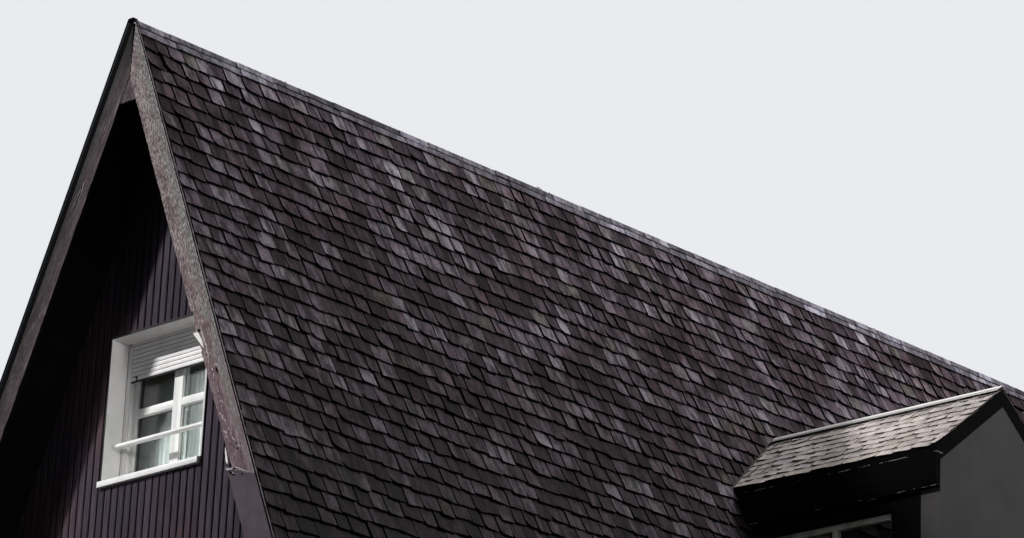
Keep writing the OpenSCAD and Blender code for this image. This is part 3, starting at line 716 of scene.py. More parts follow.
# The right board is damaged: rot holes and a slit, and long flakes of pale, fresh wood that stand
# off its face. The largest has sprung away from the inner edge like a white tongue.
# The holes and the slit are flat near-black patches on the face: damp rotten wood and the painted shade inside them.
hole_dark = coated("rot_hole_painted_shade", ((0, "030202"), (1, "110e0e")), 220.0, 3.0, 0.95, 0.0)
# Fresh wood is creamy and fibrous where it has torn off lately; some years of rain turn it grey.
pale_wood = coated("fresh_split_softwood", ((0.3, "b5b0ac"), (0.6, "efebe6")), 120.0, 3.0, 0.75)
old_flake = coated("greyed_split_softwood", ((0.3, "7d7678"), (0.6, "b9b2b2")), 120.0, 3.0, 0.75)


def on_board(name, outlines, thick, material):
    """Small pieces on the right board's face. Each outline is a list of (v, w, proud): down the board,
    in from its outer edge, off its face."""
    corners, faces = [], []
    for outline in outlines:
        faces.append([len(corners) + i for i in range(len(outline))])
        for v, w, proud in outline:
            x, s, z = right_slope(0, v, -w)
            corners.append((x + SHIFT, max(Y_LIMIT, Y_FRONT - 0.0014 - proud * 0.45), z))
    piece = piece_of(name, corners, faces)
    face_out(piece, thick)
    coat(piece, material)
    settle(piece, "weathered_wood")
    return piece


def oval(v, w, long, wide, lean, ragged, seed):
    """An irregular oval outline, its long axis leaning from the board's length."""
    draw = random.Random(seed)
    ring = []
    for i in range(9):
        turn = 2 * math.pi * i / 9
        a = math.cos(turn) * long * (1 + draw.uniform(-ragged, ragged))
        b = math.sin(turn) * wide * (1 + draw.uniform(-ragged, ragged))
        ring.append((v + a * math.cos(lean) - b * math.sin(lean), w + a * math.sin(lean) + b * math.cos(lean), 0))
    return ring


def streak_of(points, wide, proud):
    """A tapering flake along a few (v, w) points."""
    left, right = [], []
    for i, (v, w) in enumerate(points):
        half = wide / 2 * (1 - 0.75 * i / (len(points) - 1))
        left.append((v, w + half, proud))
        right.append((v + 0.004, w - half, proud * 0.3))
    return left + right[::-1]


def dabs(points, count, seed):
    """Short flakes scattered along a few (v, w) points."""
    draw, made = random.Random(seed), []
    for i in range(count):
        part, along = divmod(draw.uniform(0, len(points) - 1.001), 1)
        (v0, w0), (v1, w1) = points[int(part)], points[int(part) + 1]
        made.append(oval(v0 + (v1 - v0) * along, w0 + (w1 - w0) * along + draw.gauss(0, 0.006),
                         draw.uniform(0.005, 0.017), draw.uniform(0.0018, 0.0045), draw.gauss(-0.12, 0.25),
                         0.35, seed * 100 + i))
    return made


on_board("barge_rot_holes", [
    oval(3.056, 0.174, 0.021, 0.012, -0.3, 0.2, 1), oval(3.292, 0.158, 0.010, 0.006, 0.5, 0.3, 2),
    [(3.452, 0.104, 0), (3.480, 0.110, 0), (3.522, 0.096, 0), (3.496, 0.090, 0), (3.470, 0.094, 0)],
    oval(4.168, 0.098, 0.013, 0.006, 0.9, 0.35, 3), oval(4.212, 0.102, 0.007, 0.014, 0.3, 0.35, 4),
    oval(4.196, 0.060, 0.005, 0.008, 0.2, 0.3, 5), oval(4.135, 0.158, 0.004, 0.007, 0.2, 0.3, 6),
    oval(3.440, 0.176, 0.009, 0.003, 0.1, 0.3, 7)], 0.0012, hole_dark)
on_board("barge_splinter", [[
    (3.045, 0.230, 0.016), (3.052, 0.206, 0.020), (3.070, 0.180, 0.018), (3.112, 0.172, 0.011), (3.156, 0.167, 0.006),
    (3.222, 0.172, 0.001), (3.205, 0.180, 0.004), (3.130, 0.203, 0.010), (3.080, 0.221, 0.014)]], 0.003, pale_wood)
on_board("barge_flakes", [
    streak_of([(3.075, 0.150), (3.130, 0.146), (3.190, 0.142), (3.250, 0.143), (3.290, 0.146)], 0.010, 0.005),
    oval(3.272, 0.150, 0.012, 0.006, 0.4, 0.3, 11), oval(3.300, 0.134, 0.010, 0.004, 0.9, 0.3, 12),
    oval(3.322, 0.150, 0.012, 0.004, 0.2, 0.3, 13),
    [(3.432, 0.104, 0.003), (3.428, 0.094, 0.004), (3.440, 0.082, 0.003), (3.476, 0.078, 0.001),
     (3.448, 0.086, 0.002), (3.440, 0.096, 0.003)],
    *dabs([(3.36, 0.156), (3.56, 0.139), (3.76, 0.126)], 11, 31),
    *dabs([(3.08, 0.150), (3.20, 0.142), (3.33, 0.146)], 9, 33),
    streak_of([(2.990, 0.120), (3.010, 0.116), (3.024, 0.118)], 0.012, 0.003),
    *dabs([(3.84, 0.168), (3.96, 0.140), (4.09, 0.119), (4.16, 0.100)], 20, 32),
    *dabs([(3.95, 0.184), (4.08, 0.168)], 5, 34),
    streak_of([(4.205, 0.090), (4.215, 0.074), (4.196, 0.064)], 0.006, 0.005)], 0.002, old_flake)
on_board("barge_torn_rim", [[
    (4.125, 0.212, 0.002), (4.160, 0.222, 0.006), (4.205, 0.231, 0.007), (4.235, 0.237, 0.009), (4.268, 0.235, 0.008),
    (4.262, 0.222, 0.006), (4.230, 0.218, 0.003), (4.200, 0.216, 0.002), (4.155, 0.210, 0.002)]], 0.0025, pale_wood)
on_board("sheet_torn_rim", [
    [(4.276, 0.246, 0.008), (4.296, 0.250, 0.010), (4.318, 0.224, 0.009), (4.334, 0.190, 0.010), (4.346, 0.160, 0.011),
     (4.372, 0.128, 0.010), (4.408, 0.098, 0.009), (4.440, 0.070, 0.006), (4.443, 0.074, 0.006), (4.410, 0.102, 0.009),
     (4.376, 0.133, 0.010), (4.350, 0.165, 0.011), (4.338, 0.194, 0.009), (4.328, 0.232, 0.009), (4.304, 0.258, 0.008)],
    [(4.362, 0.204, 0.009), (4.372, 0.194, 0.011), (4.398, 0.188, 0.009), (4.388, 0.200, 0.007)]], 0.0025, old_flake)
holes = on_board("patch_holes", [
    oval(4.346, 0.176, 0.006, 0.014, 0.25, 0.25, 21),
    [(4.322, 0.234, 0), (4.352, 0.216, 0), (4.400, 0.184, 0), (4.392, 0.202, 0), (4.352, 0.232, 0)],
    oval(4.436, 0.118, 0.004, 0.010, 0.3, 0.25, 22)], 0.0012, hole_dark)
for point in holes.data.vertices:
    point.co.y -= 0.0058  # they lie in the sheet's face, which stands off the board's

for piece in (
        on_board("left_board_split", [[(1.385, 0.090, 0), (1.450, 0.097, 0), (1.540, 0.096, 0), (1.625, 0.088, 0),
                                       (1.510, 0.084, 0)]], 0.0012, hole_dark),
        on_board("left_board_split_lips", [
            streak_of([(1.375, 0.094), (1.440, 0.104), (1.540, 0.102), (1.630, 0.090)], 0.006, 0.003),
            streak_of([(1.430, 0.082), (1.500, 0.079), (1.590, 0.080)], 0.005, 0.003)], 0.002, old_flake)):
    piece.data.flip_normals()
    mirror_x(piece)

# Filler boards close the corner between the barge boards below the peak, their grain across.
FILLER_LOW, FILLER_TOP = APEX - 0.710, APEX - (BOARD_W - 0.01) / math.sin(HALF)
FILLER_HALF = (APEX - FILLER_LOW) * math.tan(HALF) - (BOARD_W - 0.01) / math.cos(HALF)
for end, name in ((1, "peak_filler_front"), (-1, "peak_filler_back")):
    filler = grid(name, 12, 16)
    for point in filler.data.vertices:
        t = (point.co.y + 1) / 2
        point.co = (SHIFT + point.co.x * (FILLER_HALF * (1 - t) + 0.001),
                    end * (Y_FRONT + 0.004 + 0.001 * ripple(*(point.co * 6))),
                    FILLER_LOW + (FILLER_TOP - FILLER_LOW) * t + 0.004 * (1 - t) * ripple(point.co.x * 3, 7, 1))
    thicken(filler, 0.024, 1 if end < 0 else -1)
    plank_map(filler)
    for spot_uv in filler.data.uv_layers[0].data:
        spot_uv.uv.y += LEFT_UV if spot_uv.uv.y < LEFT_UV else 0
    coat(filler, worn_board)
    settle(filler, "weathered_wood", "apex_fillers")

# ---- Verge strips ----
# Folded sheet angles nailed along the ends of the slates. The left ones lie over the slates and are
# painted blue-black; the right ones stand behind the board, and the brown fold shows as a thin line.
def painted_sheet(name, deep, light, spec):
    """Oil paint on thin sheet, faded in clouds and rubbed by the rain."""
    return coated(name, ((0.36, deep), (0.66, light)), 9.0, 6.0, 0.6, spec, (0.2, 0.004), fine=0.65)


blue_black = painted_sheet("blue_black_painted_sheet", "0b0e14", "1c222e", 0.04)
brown_fold = painted_sheet("brown_painted_fold", "4c4549", "7d7479", 0.1)
# Tarred softwood in the gap below the metal, coloured near black, a painted shade of the gap; the left covers and the
# peak caps wear the same black.
verge_black_shade = coated("verge_batten_painted_shade", ((0, "020202"), (1, "070708")), 30.0, 3.0, 0.85, 0.02)
VERGE_FOOT, VERGE_STEPS = 0.045, 60


def verge_strip(name, slope, end, outline_top, outline_foot, v0, material):
    """A long strip: a flat outline of (y, o) points that changes evenly from v0 down to the foot."""
    v1, count = (APEX - VERGE_FOOT) / math.cos(HALF), len(outline_top)
    corners, faces = [], []
    for k in range(VERGE_STEPS + 1):
        t = k / VERGE_STEPS
        v = v0 + (v1 - v0) * t
        wave = 0.0015 * ripple(v * 3, 2, 2)
        for (y0, o0), (y1, o1) in zip(outline_top, outline_foot):
            corners.append(slope(end * (y0 + (y1 - y0) * t), v, o0 + (o1 - o0) * t + wave))
    for k in range(VERGE_STEPS):
        for i in range(count):
            j = (i + 1) % count
            faces.append([k * count + i, k * count + j, (k + 1) * count + j, (k + 1) * count + i])
    faces += [list(range(count)), [VERGE_STEPS * count + i for i in range(count)]]
    strip = piece_of(name, corners, faces)
    face_out(strip)
    coat(strip, material)
    return strip


cover = [(-5.958, 0.044), (-5.992, 0.050), (-5.9985, 0.046), (-5.9985, 0.035), (-5.994, 0.032), (-5.992, 0.040),
         (-5.958, 0.038)]
plate = [(-5.975, 0.032), (-5.9955, 0.032), (-5.9935, 0.018), (-5.975, 0.018)]
batten = [(-5.965, -0.034), (-5.9945, -0.030), (-5.9945, 0.019), (-5.965, 0.019)]
gap_board = [(-5.955, 0.015), (-5.982, 0.015), (-5.982, 0.033), (-5.955, 0.033)]
gap_board_foot = [(-5.955, 0.015), (-5.982, 0.015), (-5.982, 0.038), (-5.955, 0.038)]
fold = [(-5.978, 0.033), (-5.9850, 0.033), (-5.9865, 0.0355), (-5.9850, 0.038), (-5.978, 0.037)]
fold_foot = [(-5.978, 0.038), (-5.9845, 0.038), (-5.9855, 0.0395), (-5.9845, 0.041), (-5.978, 0.041)]
for end, place in ((1, "front"), (-1, "back")):
    for kind, slope, top, foot, v0, paint in (
            ("verge_metal_left_", left_slope, cover, cover, 0.012, verge_black_shade),
            ("verge_plate_left_", left_slope, plate, plate, 0.03, blue_black),
            ("verge_batten_left_", left_slope, batten, batten, 0.03, verge_black_shade),
            ("verge_batten_right_", right_slope, gap_board, gap_board_foot, 0.03, verge_black_shade),
            ("verge_metal_right_", right_slope, fold, fold_foot, 0.03, brown_fold)):
        strip = verge_strip(kind + place, slope, end, top, foot, v0, paint)
        settle(strip, "verge_metal", *(["verge_strips"] if "metal" in kind else []))

# A small folded cap closes the joint of the verge strips over each peak.
cap_outline = [(-0.0524, 4.7403), (-0.0417, 4.7645), (0.018, 4.7645), (0.052, 4.722), (0.045, 4.720),
               (0.014, 4.7505), (-0.020, 4.7505), (-0.0340, 4.7322)]
for end, place in ((1, "front"), (-1, "back")):
    peak_cap = piece_of("verge_peak_cap_" + place, [(x, -5.9992 * end, z) for x, z in cap_outline],
                        [list(range(len(cap_outline)))])
    face_out(peak_cap, 0.042 * end)
    coat(peak_cap, verge_black_shade)
    settle(peak_cap, "verge_metal")

# ---- Gable boarding ----
# Upright tongue-and-groove boards 82 mm apart, chamfered at each joint and stained dark brown,
# nailed to the gable wall, cut to the roof's slope and round the window. Under the left slope the
# boards are coloured much darker, a painted shadow of the overhang.
PITCH, FIRST_JOINT, Y_BOARD, ROOF_T = 0.082, 0.018, -5.500, 0.145
CHAMFER, GAP, TONGUE = 0.006, 0.0068, 0.010
WIN_X0, WIN_X1, WIN_Z0, WIN_Z1 = -0.538, 0.662, 1.043, 2.285


def roof_x(z):
    """Half the room's width at height z, under the roof's boarding."""
    return (APEX - z) * math.tan(HALF) - ROOF_T / math.cos(HALF)


def under_roof(points):
    """The part of an upright board's outline that lies under both slopes of the roof, and over its foot."""
    for way in (1, -1):
        points = keep_side(points, lambda x, z: roof_x(z) - way * x)
    return keep_side(points, lambda x, z: z - SLATE_FOOT)


def boards_of(name, end):
    corners, faces, sides, tones, flat = [], [], [], [], []
    for n in range(-27, 28):
        left, right = n * PITCH + FIRST_JOINT, (n + 1) * PITCH + FIRST_JOINT
        tone = random.Random(n * 7 + (0 if end > 0 else 500)).random()
        cuts = sorted({left, right} | {x for x in (WIN_X0, WIN_X1) if left < x < right})
        for x0, x1 in zip(cuts, cuts[1:]):
            spans = [(0, WIN_Z0), (WIN_Z1, APEX)] if WIN_X0 - 0.001 < (x0 + x1) / 2 < WIN_X1 else [(0, APEX)]
            in0, in1 = (CHAMFER if x0 == left else 0), (CHAMFER if x1 == right else 0)
            face0, face1 = x0 + (GAP if in0 else 0) + in0, x1 - (GAP if in1 else 0) - in1
            for z0, z1 in spans:
                front = under_roof([(face0, z0), (face1, z0), (face1, z1), (face0, z1)])
                if len(front) < 3:
                    continue
                first, count = len(corners), len(front)
                low, high = min(p[0] for p in front), max(p[0] for p in front)
                edge = [(x - (in0 if x < low + 1e-5 else 0) + (in1 if x > high - 1e-5 else 0), z) for x, z in front]
                for outline, back in ((front, 0), (edge, 0.005), (edge, TONGUE + 0.006)):
                    corners += [(x, end * (Y_BOARD + back), z) for x, z in outline]
                rings = [list(range(count))]
                for ring in (0, count):
                    rings += [[ring + i, ring + count + i, ring + count + (i + 1) % count, ring + (i + 1) % count]
                              for i in range(count)]
                for k, ring in enumerate(rings):
                    faces.append([first + i for i in (ring if end > 0 else ring[::-1])])
                    sides.append(0 if k <= count else 1)
                    tones.append(tone)
                    flat += [(corners[i][0] + tone * 30, corners[i][2]) for i in faces[-1]]
    return toned_piece(name, "board", corners, faces, sides, tones, flat)


stain = new_material("dark_stained_boarding")  # low-sheen brown stain over fine upright grain, a little chalky with age
grain = texture(stain, coordinates(stain, "UV", (110, 4, 1)), 1.0, 6.0, 0.6, 0.4)
where = coordinates(stain)
spot = axes(stain, where)
toned = calc(stain, "ADD", texture(stain, where, 0.9, 3.0), mapped(stain, spot["Z"], 2.2, 3.3, 0, 0.32))
toned = calc(stain, "ADD", toned, mapped(stain, spot["X"], 0.55, 1.1, 0, 0.20))
faded = ramp(stain, toned, (0.42, "faeaea"), (0.58, "e2e6f2"), (0.80, "c2d4d2"))
tint = times(stain, ramp(stain, grain, (0.28, "332b30"), (0.5, "453b42"), (0.72, "5a5057")), faded)
shadow_edge_reach = add(stain, "VectorMath", {0: where, 1: (1, 0, -math.tan(HALF))}, operation="DOT_PRODUCT").outputs["Value"]
own = add(stain, "Attribute", attribute_name="tone").outputs["Fac"]
peak = APEX * math.tan(HALF)
# Each board's own tone, times a painted shadow of the left overhang that leaves about a quarter of the brightness under
# it.
lift = product(stain, [(own, 0, 1, 0.92, 1.28), (shadow_edge_reach, 0.60 - peak, 0.75 - peak, 0.26, 1)])
finish(stain, scaled(stain, tint, lift), 0.8, (grain, 0.35, 0.0015), spec=0.06)
# Near black on the boards' sides inside the joints and on the tongues behind: dark stain and painted shade of the
# grooves
groove = coated("groove_stain_and_shade", ((0, "020202"), (1, "0b090b")), 40.0, 3.0, 0.85, 0.05)

for end, name, node in ((1, "gable_boards", "front_boarding"), (-1, "back_gable_boards", "back_boarding")):
    boards = boards_of(name, end)
    # A near-black sheet behind the boards fills their joints: the tongues, coloured with painted shade.
    backing = bmesh.new()
    backing.from_mesh(boards.data)
    foot_x, low_x, high_x = roof_x(SLATE_FOOT), roof_x(WIN_Z0), roof_x(WIN_Z1)
    for shape in ([(-foot_x, SLATE_FOOT), (foot_x, SLATE_FOOT), (low_x, WIN_Z0), (-low_x, WIN_Z0)],
                  [(-low_x, WIN_Z0), (WIN_X0, WIN_Z0), (WIN_X0, WIN_Z1), (-high_x, WIN_Z1)],
                  [(WIN_X1, WIN_Z0), (low_x, WIN_Z0), (high_x, WIN_Z1), (WIN_X1, WIN_Z1)],
                  [(-high_x, WIN_Z1), (high_x, WIN_Z1), (0, APEX - ROOF_T / math.sin(HALF))]):
        verts = [backing.verts.new((x, end * (Y_BOARD + 0.012), z)) for x, z in (shape if end > 0 else shape[::-1])]
        backing.faces.new(verts).material_index = 1
    backing.to_mesh(boards.data)
    backing.free()
    coat(boards, stain, groove)
    settle(boards, "dark_boarding", node)

# The soffits under the overhangs are tarred boards along the roof, coloured almost black: tar and the painted shade of
# the overhang.
soffit_tar_and_shade = coated("soffit_tar_and_painted_shade", ((0, "040404"), (1, "0d0d0f")), 1.0, 4.0, 0.85, 0.05, (0.3, 0.002), (30, 4, 30))

# ---- Gable window: lining and sill ----
# Folded white sheet lines the reveal from the boarding back to the window. The sill is pressed
# from the same sheet, slopes outwards, and stops short of the lining's right corner, where a black
# block stands in the gap as painted shade.
def ease(piece, width, angle):
    """Rounds the active piece's arrises that turn by more than angle degrees."""
    bpy.ops.object.modifier_add(type="BEVEL")
    bevel = piece.modifiers[-1]
    bevel.width, bevel.segments, bevel.limit_method, bevel.angle_limit = width, 2, "ANGLE", math.radians(angle)
    bpy.ops.object.modifier_apply(modifier=bevel.name)


def rounded_copy(node, name, edge, slot, material):
    """A copy of a CAD node with its arrises eased, which then stands for it."""
    piece = bpy.data.objects.new(name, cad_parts[node].data.copy())
    scene.collection.objects.link(piece)
    choose(piece)
    bpy.ops.object.mode_set(mode="EDIT")
    bpy.ops.mesh.select_all(action="SELECT")
    bpy.ops.mesh.remove_doubles(threshold=1e-5)
    bpy.ops.mesh.normals_make_consistent(inside=False)
    bpy.ops.mesh.dissolve_limited(angle_limit=math.radians(1))
    bpy.ops.object.mode_set(mode="OBJECT")
    ease(piece, edge, 35)
    bpy.ops.object.shade_smooth_by_angle(angle=math.radians(40))
    piece.data.materials.clear()
    coat(piece, material)
    settle(piece, slot, node)
    return piece


def white_finish(name, clean, dirty, rough):
    """White paint or plastic: even and smooth, a little greyer in broad, soft patches where dust has settled."""
    white = new_material(name)
    where = coordinates(white)
    grime = texture(white, where, 6.0, 6.0, 0.55)
    dull = mapped(white, grime, 0, 1, rough + 0.12, rough)
    wave = texture(white, where, 9.0, 2.0)
    return finish(white, ramp(white, grime, (0.30, dirty), (0.56, clean)), dull, (wave, 0.08, 0.004))


white_sheet = white_finish("white_enamelled_sheet", "e4e2e1", "d8d6d4", 0.42)
sill_paint = white_finish("white_enamelled_sill", "ecebea", "dddbd9", 0.38)
SILL_TOP, SILL_SHORT, HEAD_STRIP, JAMB_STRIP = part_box("window_frame")[0][2], 0.016, 0.010, 0.022
lining = rounded_copy("window_surround", "reveal_lining", 0.0015, "white_metal", white_sheet)
sill = rounded_copy("window_sill", "pressed_sill", 0.0015, "white_metal", sill_paint)
for point in sill.data.vertices:
    if point.co.x > WIN_X1 - 0.003 and point.co.y < Y_BOARD + 0.003:
        point.co.x -= SILL_SHORT
# Soft black bitumen strip, dusty on its face. Where it lines the gaps at the head, the sill's end and the shutter's
# foot, it is also a painted shadow line.
packing_and_shade = coated("bitumen_packing_and_shade", ((0, "060606"), (1, "191819")), 70.0, 3.0, 0.9)
coat(lining, packing_and_shade)
for point in lining.data.vertices:  # the head is a single sheet, thinner than the jambs
    if WIN_Z1 - 0.023 < point.co.z < WIN_Z1 - 0.017:
        point.co.z += 0.012
shape = bmesh.new()
shape.from_mesh(lining.data)
for place, way in (((0, 0, WIN_Z1 - HEAD_STRIP), (0, 0, 1)), ((WIN_X0 + JAMB_STRIP, 0, 0), (1, 0, 0))):
    every = shape.verts[:] + shape.edges[:] + shape.faces[:]
    bmesh.ops.bisect_plane(shape, geom=every, plane_co=place, plane_no=way)
shape.to_mesh(lining.data)
shape.free()
for side_face in lining.data.polygons:  # the sheet's front edge at the head and on the left is coloured black, a painted shadow line
    x, y, z = side_face.center
    on_strip = z > WIN_Z1 - HEAD_STRIP - 0.001 or x < WIN_X0 + JAMB_STRIP
    side_face.material_index = side_face.normal.y < -0.5 and y < Y_BOARD + 0.01 and on_strip


def block(low, high):
    """A block between two corners."""
    bpy.ops.object.select_all(action="DESELECT")
    bpy.ops.mesh.primitive_cube_add(size=1, location=[(a + b) / 2 for a, b in zip(low, high)],
                                    scale=[b - a for a, b in zip(low, high)])
    bpy.ops.object.transform_apply(location=True, rotation=True, scale=True)
    return bpy.context.object


def eased_block(name, low, high, edge, material, slot="white_plastic"):
    """A block with eased edges, which rides on the house."""
    made = block(low, high)
    made.name = name
    bpy.ops.object.mode_set(mode="EDIT")
    bpy.ops.mesh.select_all(action="SELECT")
    bpy.ops.mesh.bevel(offset=edge, segments=2, affect="EDGES")
    bpy.ops.object.mode_set(mode="OBJECT")
    coat(made, material)
    settle(made, slot)
    return made


# A black strip above the head and a black block at the sill's right end: painted shadow lines in the gaps.
eased_block("head_shadow_strip", (WIN_X0 + 0.004, Y_BOARD - 0.004, WIN_Z1 - 0.001),
            (WIN_X1, Y_BOARD + 0.004, WIN_Z1 + 0.016), 0.001, packing_and_shade)
eased_block("sill_end_shadow_block", (WIN_X1 - SILL_SHORT, Y_BOARD - 0.004, WIN_Z0 + 0.002),
            (WIN_X1 - 0.001, Y_BOARD + 0.006, SILL_TOP - 0.001), 0.001, packing_and_shade)

# ---- Gable window: frame and leaves ----
# Extruded white plastic profiles, mitred and welded, in two leaves that meet without a post. Each leaf
# has one cross bar, beads clipped round its panes, and a thin black seal against the glass.
plastic = white_finish("white_moulded_plastic", "ebebe9", "dcdcd9", 0.34)
# Matt extruded rubber, greyed by dust
seal = coated("black_rubber_seal", ((0, "1c1d1e"), (1, "3a3b3c")), 60.0, 3.0, 0.7)
FRAME_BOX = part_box("window_frame")
Y_FRAME, Y_FRAME_IN, Y_LEAF_IN = FRAME_BOX[0][1], FRAME_BOX[1][1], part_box("sash_left")[1][1]
FRAME_W, STILE, LEAF_GAP, BAR_H, LIP = 0.033, 0.052, 0.002, 0.060, 0.012
FRAME_X, FRAME_Z = (FRAME_BOX[0][0], FRAME_BOX[1][0]), (SILL_TOP, FRAME_BOX[1][2])
LEAF_MID = sum(FRAME_X) / 2
LEAF_X = ((FRAME_X[0] + FRAME_W + LEAF_GAP, LEAF_MID - LEAF_GAP / 4),
          (LEAF_MID + LEAF_GAP / 4, FRAME_X[1] - FRAME_W - LEAF_GAP))
LEAF_Z = (FRAME_Z[0] + FRAME_W + LEAF_GAP, FRAME_Z[1] - FRAME_W - LEAF_GAP)
GLASS_Y, GLASS_BACK, BAR_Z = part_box("glass_left")[0][1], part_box("glass_left")[1][1], 1.697
PANE_Z = ((LEAF_Z[0] + STILE, BAR_Z - BAR_H / 2), (BAR_Z + BAR_H / 2, LEAF_Z[1] - STILE))


def members(x, y, z, wide, edge, material):
    """Four members round an opening: a block whose front and back are inset by their width and bridged."""
    ring = block(*zip(x, y, z))
    bpy.ops.object.mode_set(mode="EDIT")
    bpy.ops.mesh.select_mode(type="FACE")
    shape = bmesh.from_edit_mesh(ring.data)
    for side_face in shape.faces:
        side_face.select = abs(side_face.normal.y) > 0.9
    bmesh.update_edit_mesh(ring.data)
    bpy.ops.mesh.inset(thickness=wide, use_individual=True)
    bpy.ops.mesh.bridge_edge_loops()
    bpy.ops.object.mode_set(mode="OBJECT")
    ease(ring, edge, 40)
    coat(ring, material)
    return ring


def joined(pieces, name, nodes=(), slot="white_plastic"):
    """Joins pieces, and says which CAD nodes they stand for."""
    bpy.ops.object.select_all(action="DESELECT")
    for piece in pieces:
        piece.select_set(True)
    bpy.context.view_layer.objects.active = pieces[0]
    bpy.ops.object.join()
    whole = bpy.context.object
    whole.name = name
    bpy.ops.object.shade_smooth_by_angle(angle=math.radians(40))
    settle(whole, slot, *nodes)
    return whole


window_pieces = [joined([members(FRAME_X, (Y_FRAME, Y_FRAME_IN), FRAME_Z, FRAME_W, 0.002, plastic)],
                        "casement_frame", ["window_frame"])]
for n, (name, node) in enumerate((("casement_left", "sash_left"), ("casement_right", "sash_right"))):
    x0, x1 = LEAF_X[n]
    light0, light1 = x0 + STILE, x1 - STILE  # the edges of the glass that shows
    lip_x = (x0 - (LIP if n == 0 else 0), x1 + (LIP if n == 1 else 0))
    white = [members((x0, x1), (Y_FRAME, Y_LEAF_IN), LEAF_Z, STILE, 0.003, plastic),
             members(lip_x, (Y_FRAME_IN, Y_LEAF_IN), (LEAF_Z[0] - LIP, LEAF_Z[1] + LIP), LIP + 0.01, 0.002, plastic),
             eased_block("bar", (light0 - 0.001, Y_FRAME, BAR_Z - BAR_H / 2),
                         (light1 + 0.001, Y_LEAF_IN, BAR_Z + BAR_H / 2), 0.003, plastic)]
    black = []
    for z0, z1 in PANE_Z:
        white.append(members((light0 - 0.0005, light1 + 0.0005), (Y_FRAME + 0.008, GLASS_Y - 0.0012),
                             (z0 - 0.0005, z1 + 0.0005), 0.009, 0.003, plastic))
        black.append(members((light0 + 0.001, light1 - 0.001), (GLASS_Y - 0.004, GLASS_Y - 0.0003),
                             (z0 + 0.001, z1 - 0.001), 0.0105, 0.0008, seal))
        if n == 0:  # the left leaf's panes also get a black seal on the room side, which darkens the returns behind the glass: painted shade
            black.append(members((light0 - 0.002, light1 + 0.002), (GLASS_BACK + 0.0005, Y_LEAF_IN + 0.001),
                                 (z0 - 0.002, z1 + 0.002), 0.005, 0.0005, seal))
    window_pieces += [joined(white, name, [node]), joined(black, name + "_seal")]

# The panes are clear double glazing with a faint green tint. Shadow rays pass, so daylight reaches
# the curtains and the room.
glass = new_material("clear_float_glass")
ray = add(glass, "LightPath").outputs
wavy = texture(glass, coordinates(glass), 2.2, 1.0)
wave = add(glass, "Bump", {"Height": wavy}, Strength=0.03, Distance=0.01).outputs[0]
green = linear("eef4f2")
pane = add(glass, "BsdfPrincipled", {"Normal": wave, "Base Color": green, "Transmission Weight": 1.0},
           Roughness=0.01, IOR=1.5)
clear = add(glass, "BsdfTransparent", {"Color": green})
mix = add(glass, "MixShader", {0: ray["Is Shadow Ray"], 1: pane.outputs[0], 2: clear.outputs[0]})
add(glass, "OutputMaterial", {"Surface": mix.outputs[0]})


def wear(material, *nodes):
    """Gives CAD nodes, whose shape is right as it is, their real material."""
    for node in nodes:
        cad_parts[node].data.materials.clear()
        coat(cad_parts[node], material)


wear(glass, "glass_left", "glass_right", "back_glass")

# ---- Roller shutter ----
# Hollow plastic slats 37 mm high hook into each other and run in two guides. The last one is a
# heavier bar with a rubber foot and a stop that catches on the lining.
shutter_white = white_finish("white_shutter_plastic", "e8e5e4", "dad7d6", 0.45)
SLAT_H, Y_SLAT, SLAT_T = 0.037, -5.318, 0.009
SHUTTER_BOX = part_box("roller_shutter")
SHUTTER_X, SHUTTER_FOOT, SHUTTER_TOP = (SHUTTER_BOX[0][0], SHUTTER_BOX[1][0]), SHUTTER_BOX[0][2], SHUTTER_BOX[1][2]
SLAT_SHAPE = ((0.0, 0.0066), (0.0046, 0.0062), (0.0052, 0.0014), (0.0085, 0.0), (0.0240, 0.0), (0.0335, 0.0005),
              (0.0362, 0.0018), (0.0368, 0.0062))  # height and depth
# The hooked strip between two slats is coloured grey: dust and the painted shade of the recess.
joint_dust_and_shade = coated("shutter_joint_dust_and_shade", ((0, "3c3a39"), (1, "6b6867")), 25.0, 4.0, 0.8)
slats, shake = [], random.Random(12)
for row in range(round((SHUTTER_TOP - SHUTTER_FOOT) / SLAT_H)):
    slat = grid("slat", 1, len(SLAT_SHAPE) - 1)
    foot = SHUTTER_FOOT + row * SLAT_H
    loose, lean_out = shake.gauss(0, 0.0002), shake.gauss(0, 0.0004)
    for point in slat.data.vertices:
        height, deep = SLAT_SHAPE[round((point.co.y + 1) / 2 * (len(SLAT_SHAPE) - 1))]
        point.co = (SHUTTER_X[0] if point.co.x < 0 else SHUTTER_X[1], Y_SLAT + deep + lean_out * height / SLAT_H,
                    foot + height + loose * point.co.x)
    thicken(slat, 0.0012, 1)
    coat(slat, shutter_white, joint_dust_and_shade)
    for side_face in slat.data.polygons:
        side_face.material_index = side_face.center.z < foot + 0.0047
    slats.append(slat)
(x0, x1), z0, y1 = SHUTTER_X, SHUTTER_FOOT, Y_SLAT + SLAT_T
stop_x = x0 + 0.085
slats.append(eased_block("back", (x0, Y_SLAT + 0.0070, z0), (x1, y1 - 0.0002, SHUTTER_TOP), 0.0004, shutter_white))
slats.append(eased_block("foot", (x0 + 0.01, Y_SLAT - 0.003, z0 + 0.004), (x1 - 0.01, y1, z0 + 0.036), 0.0025,
                         shutter_white))
joined(slats, "shutter_slats", ["roller_shutter"], "shutter_plastic")
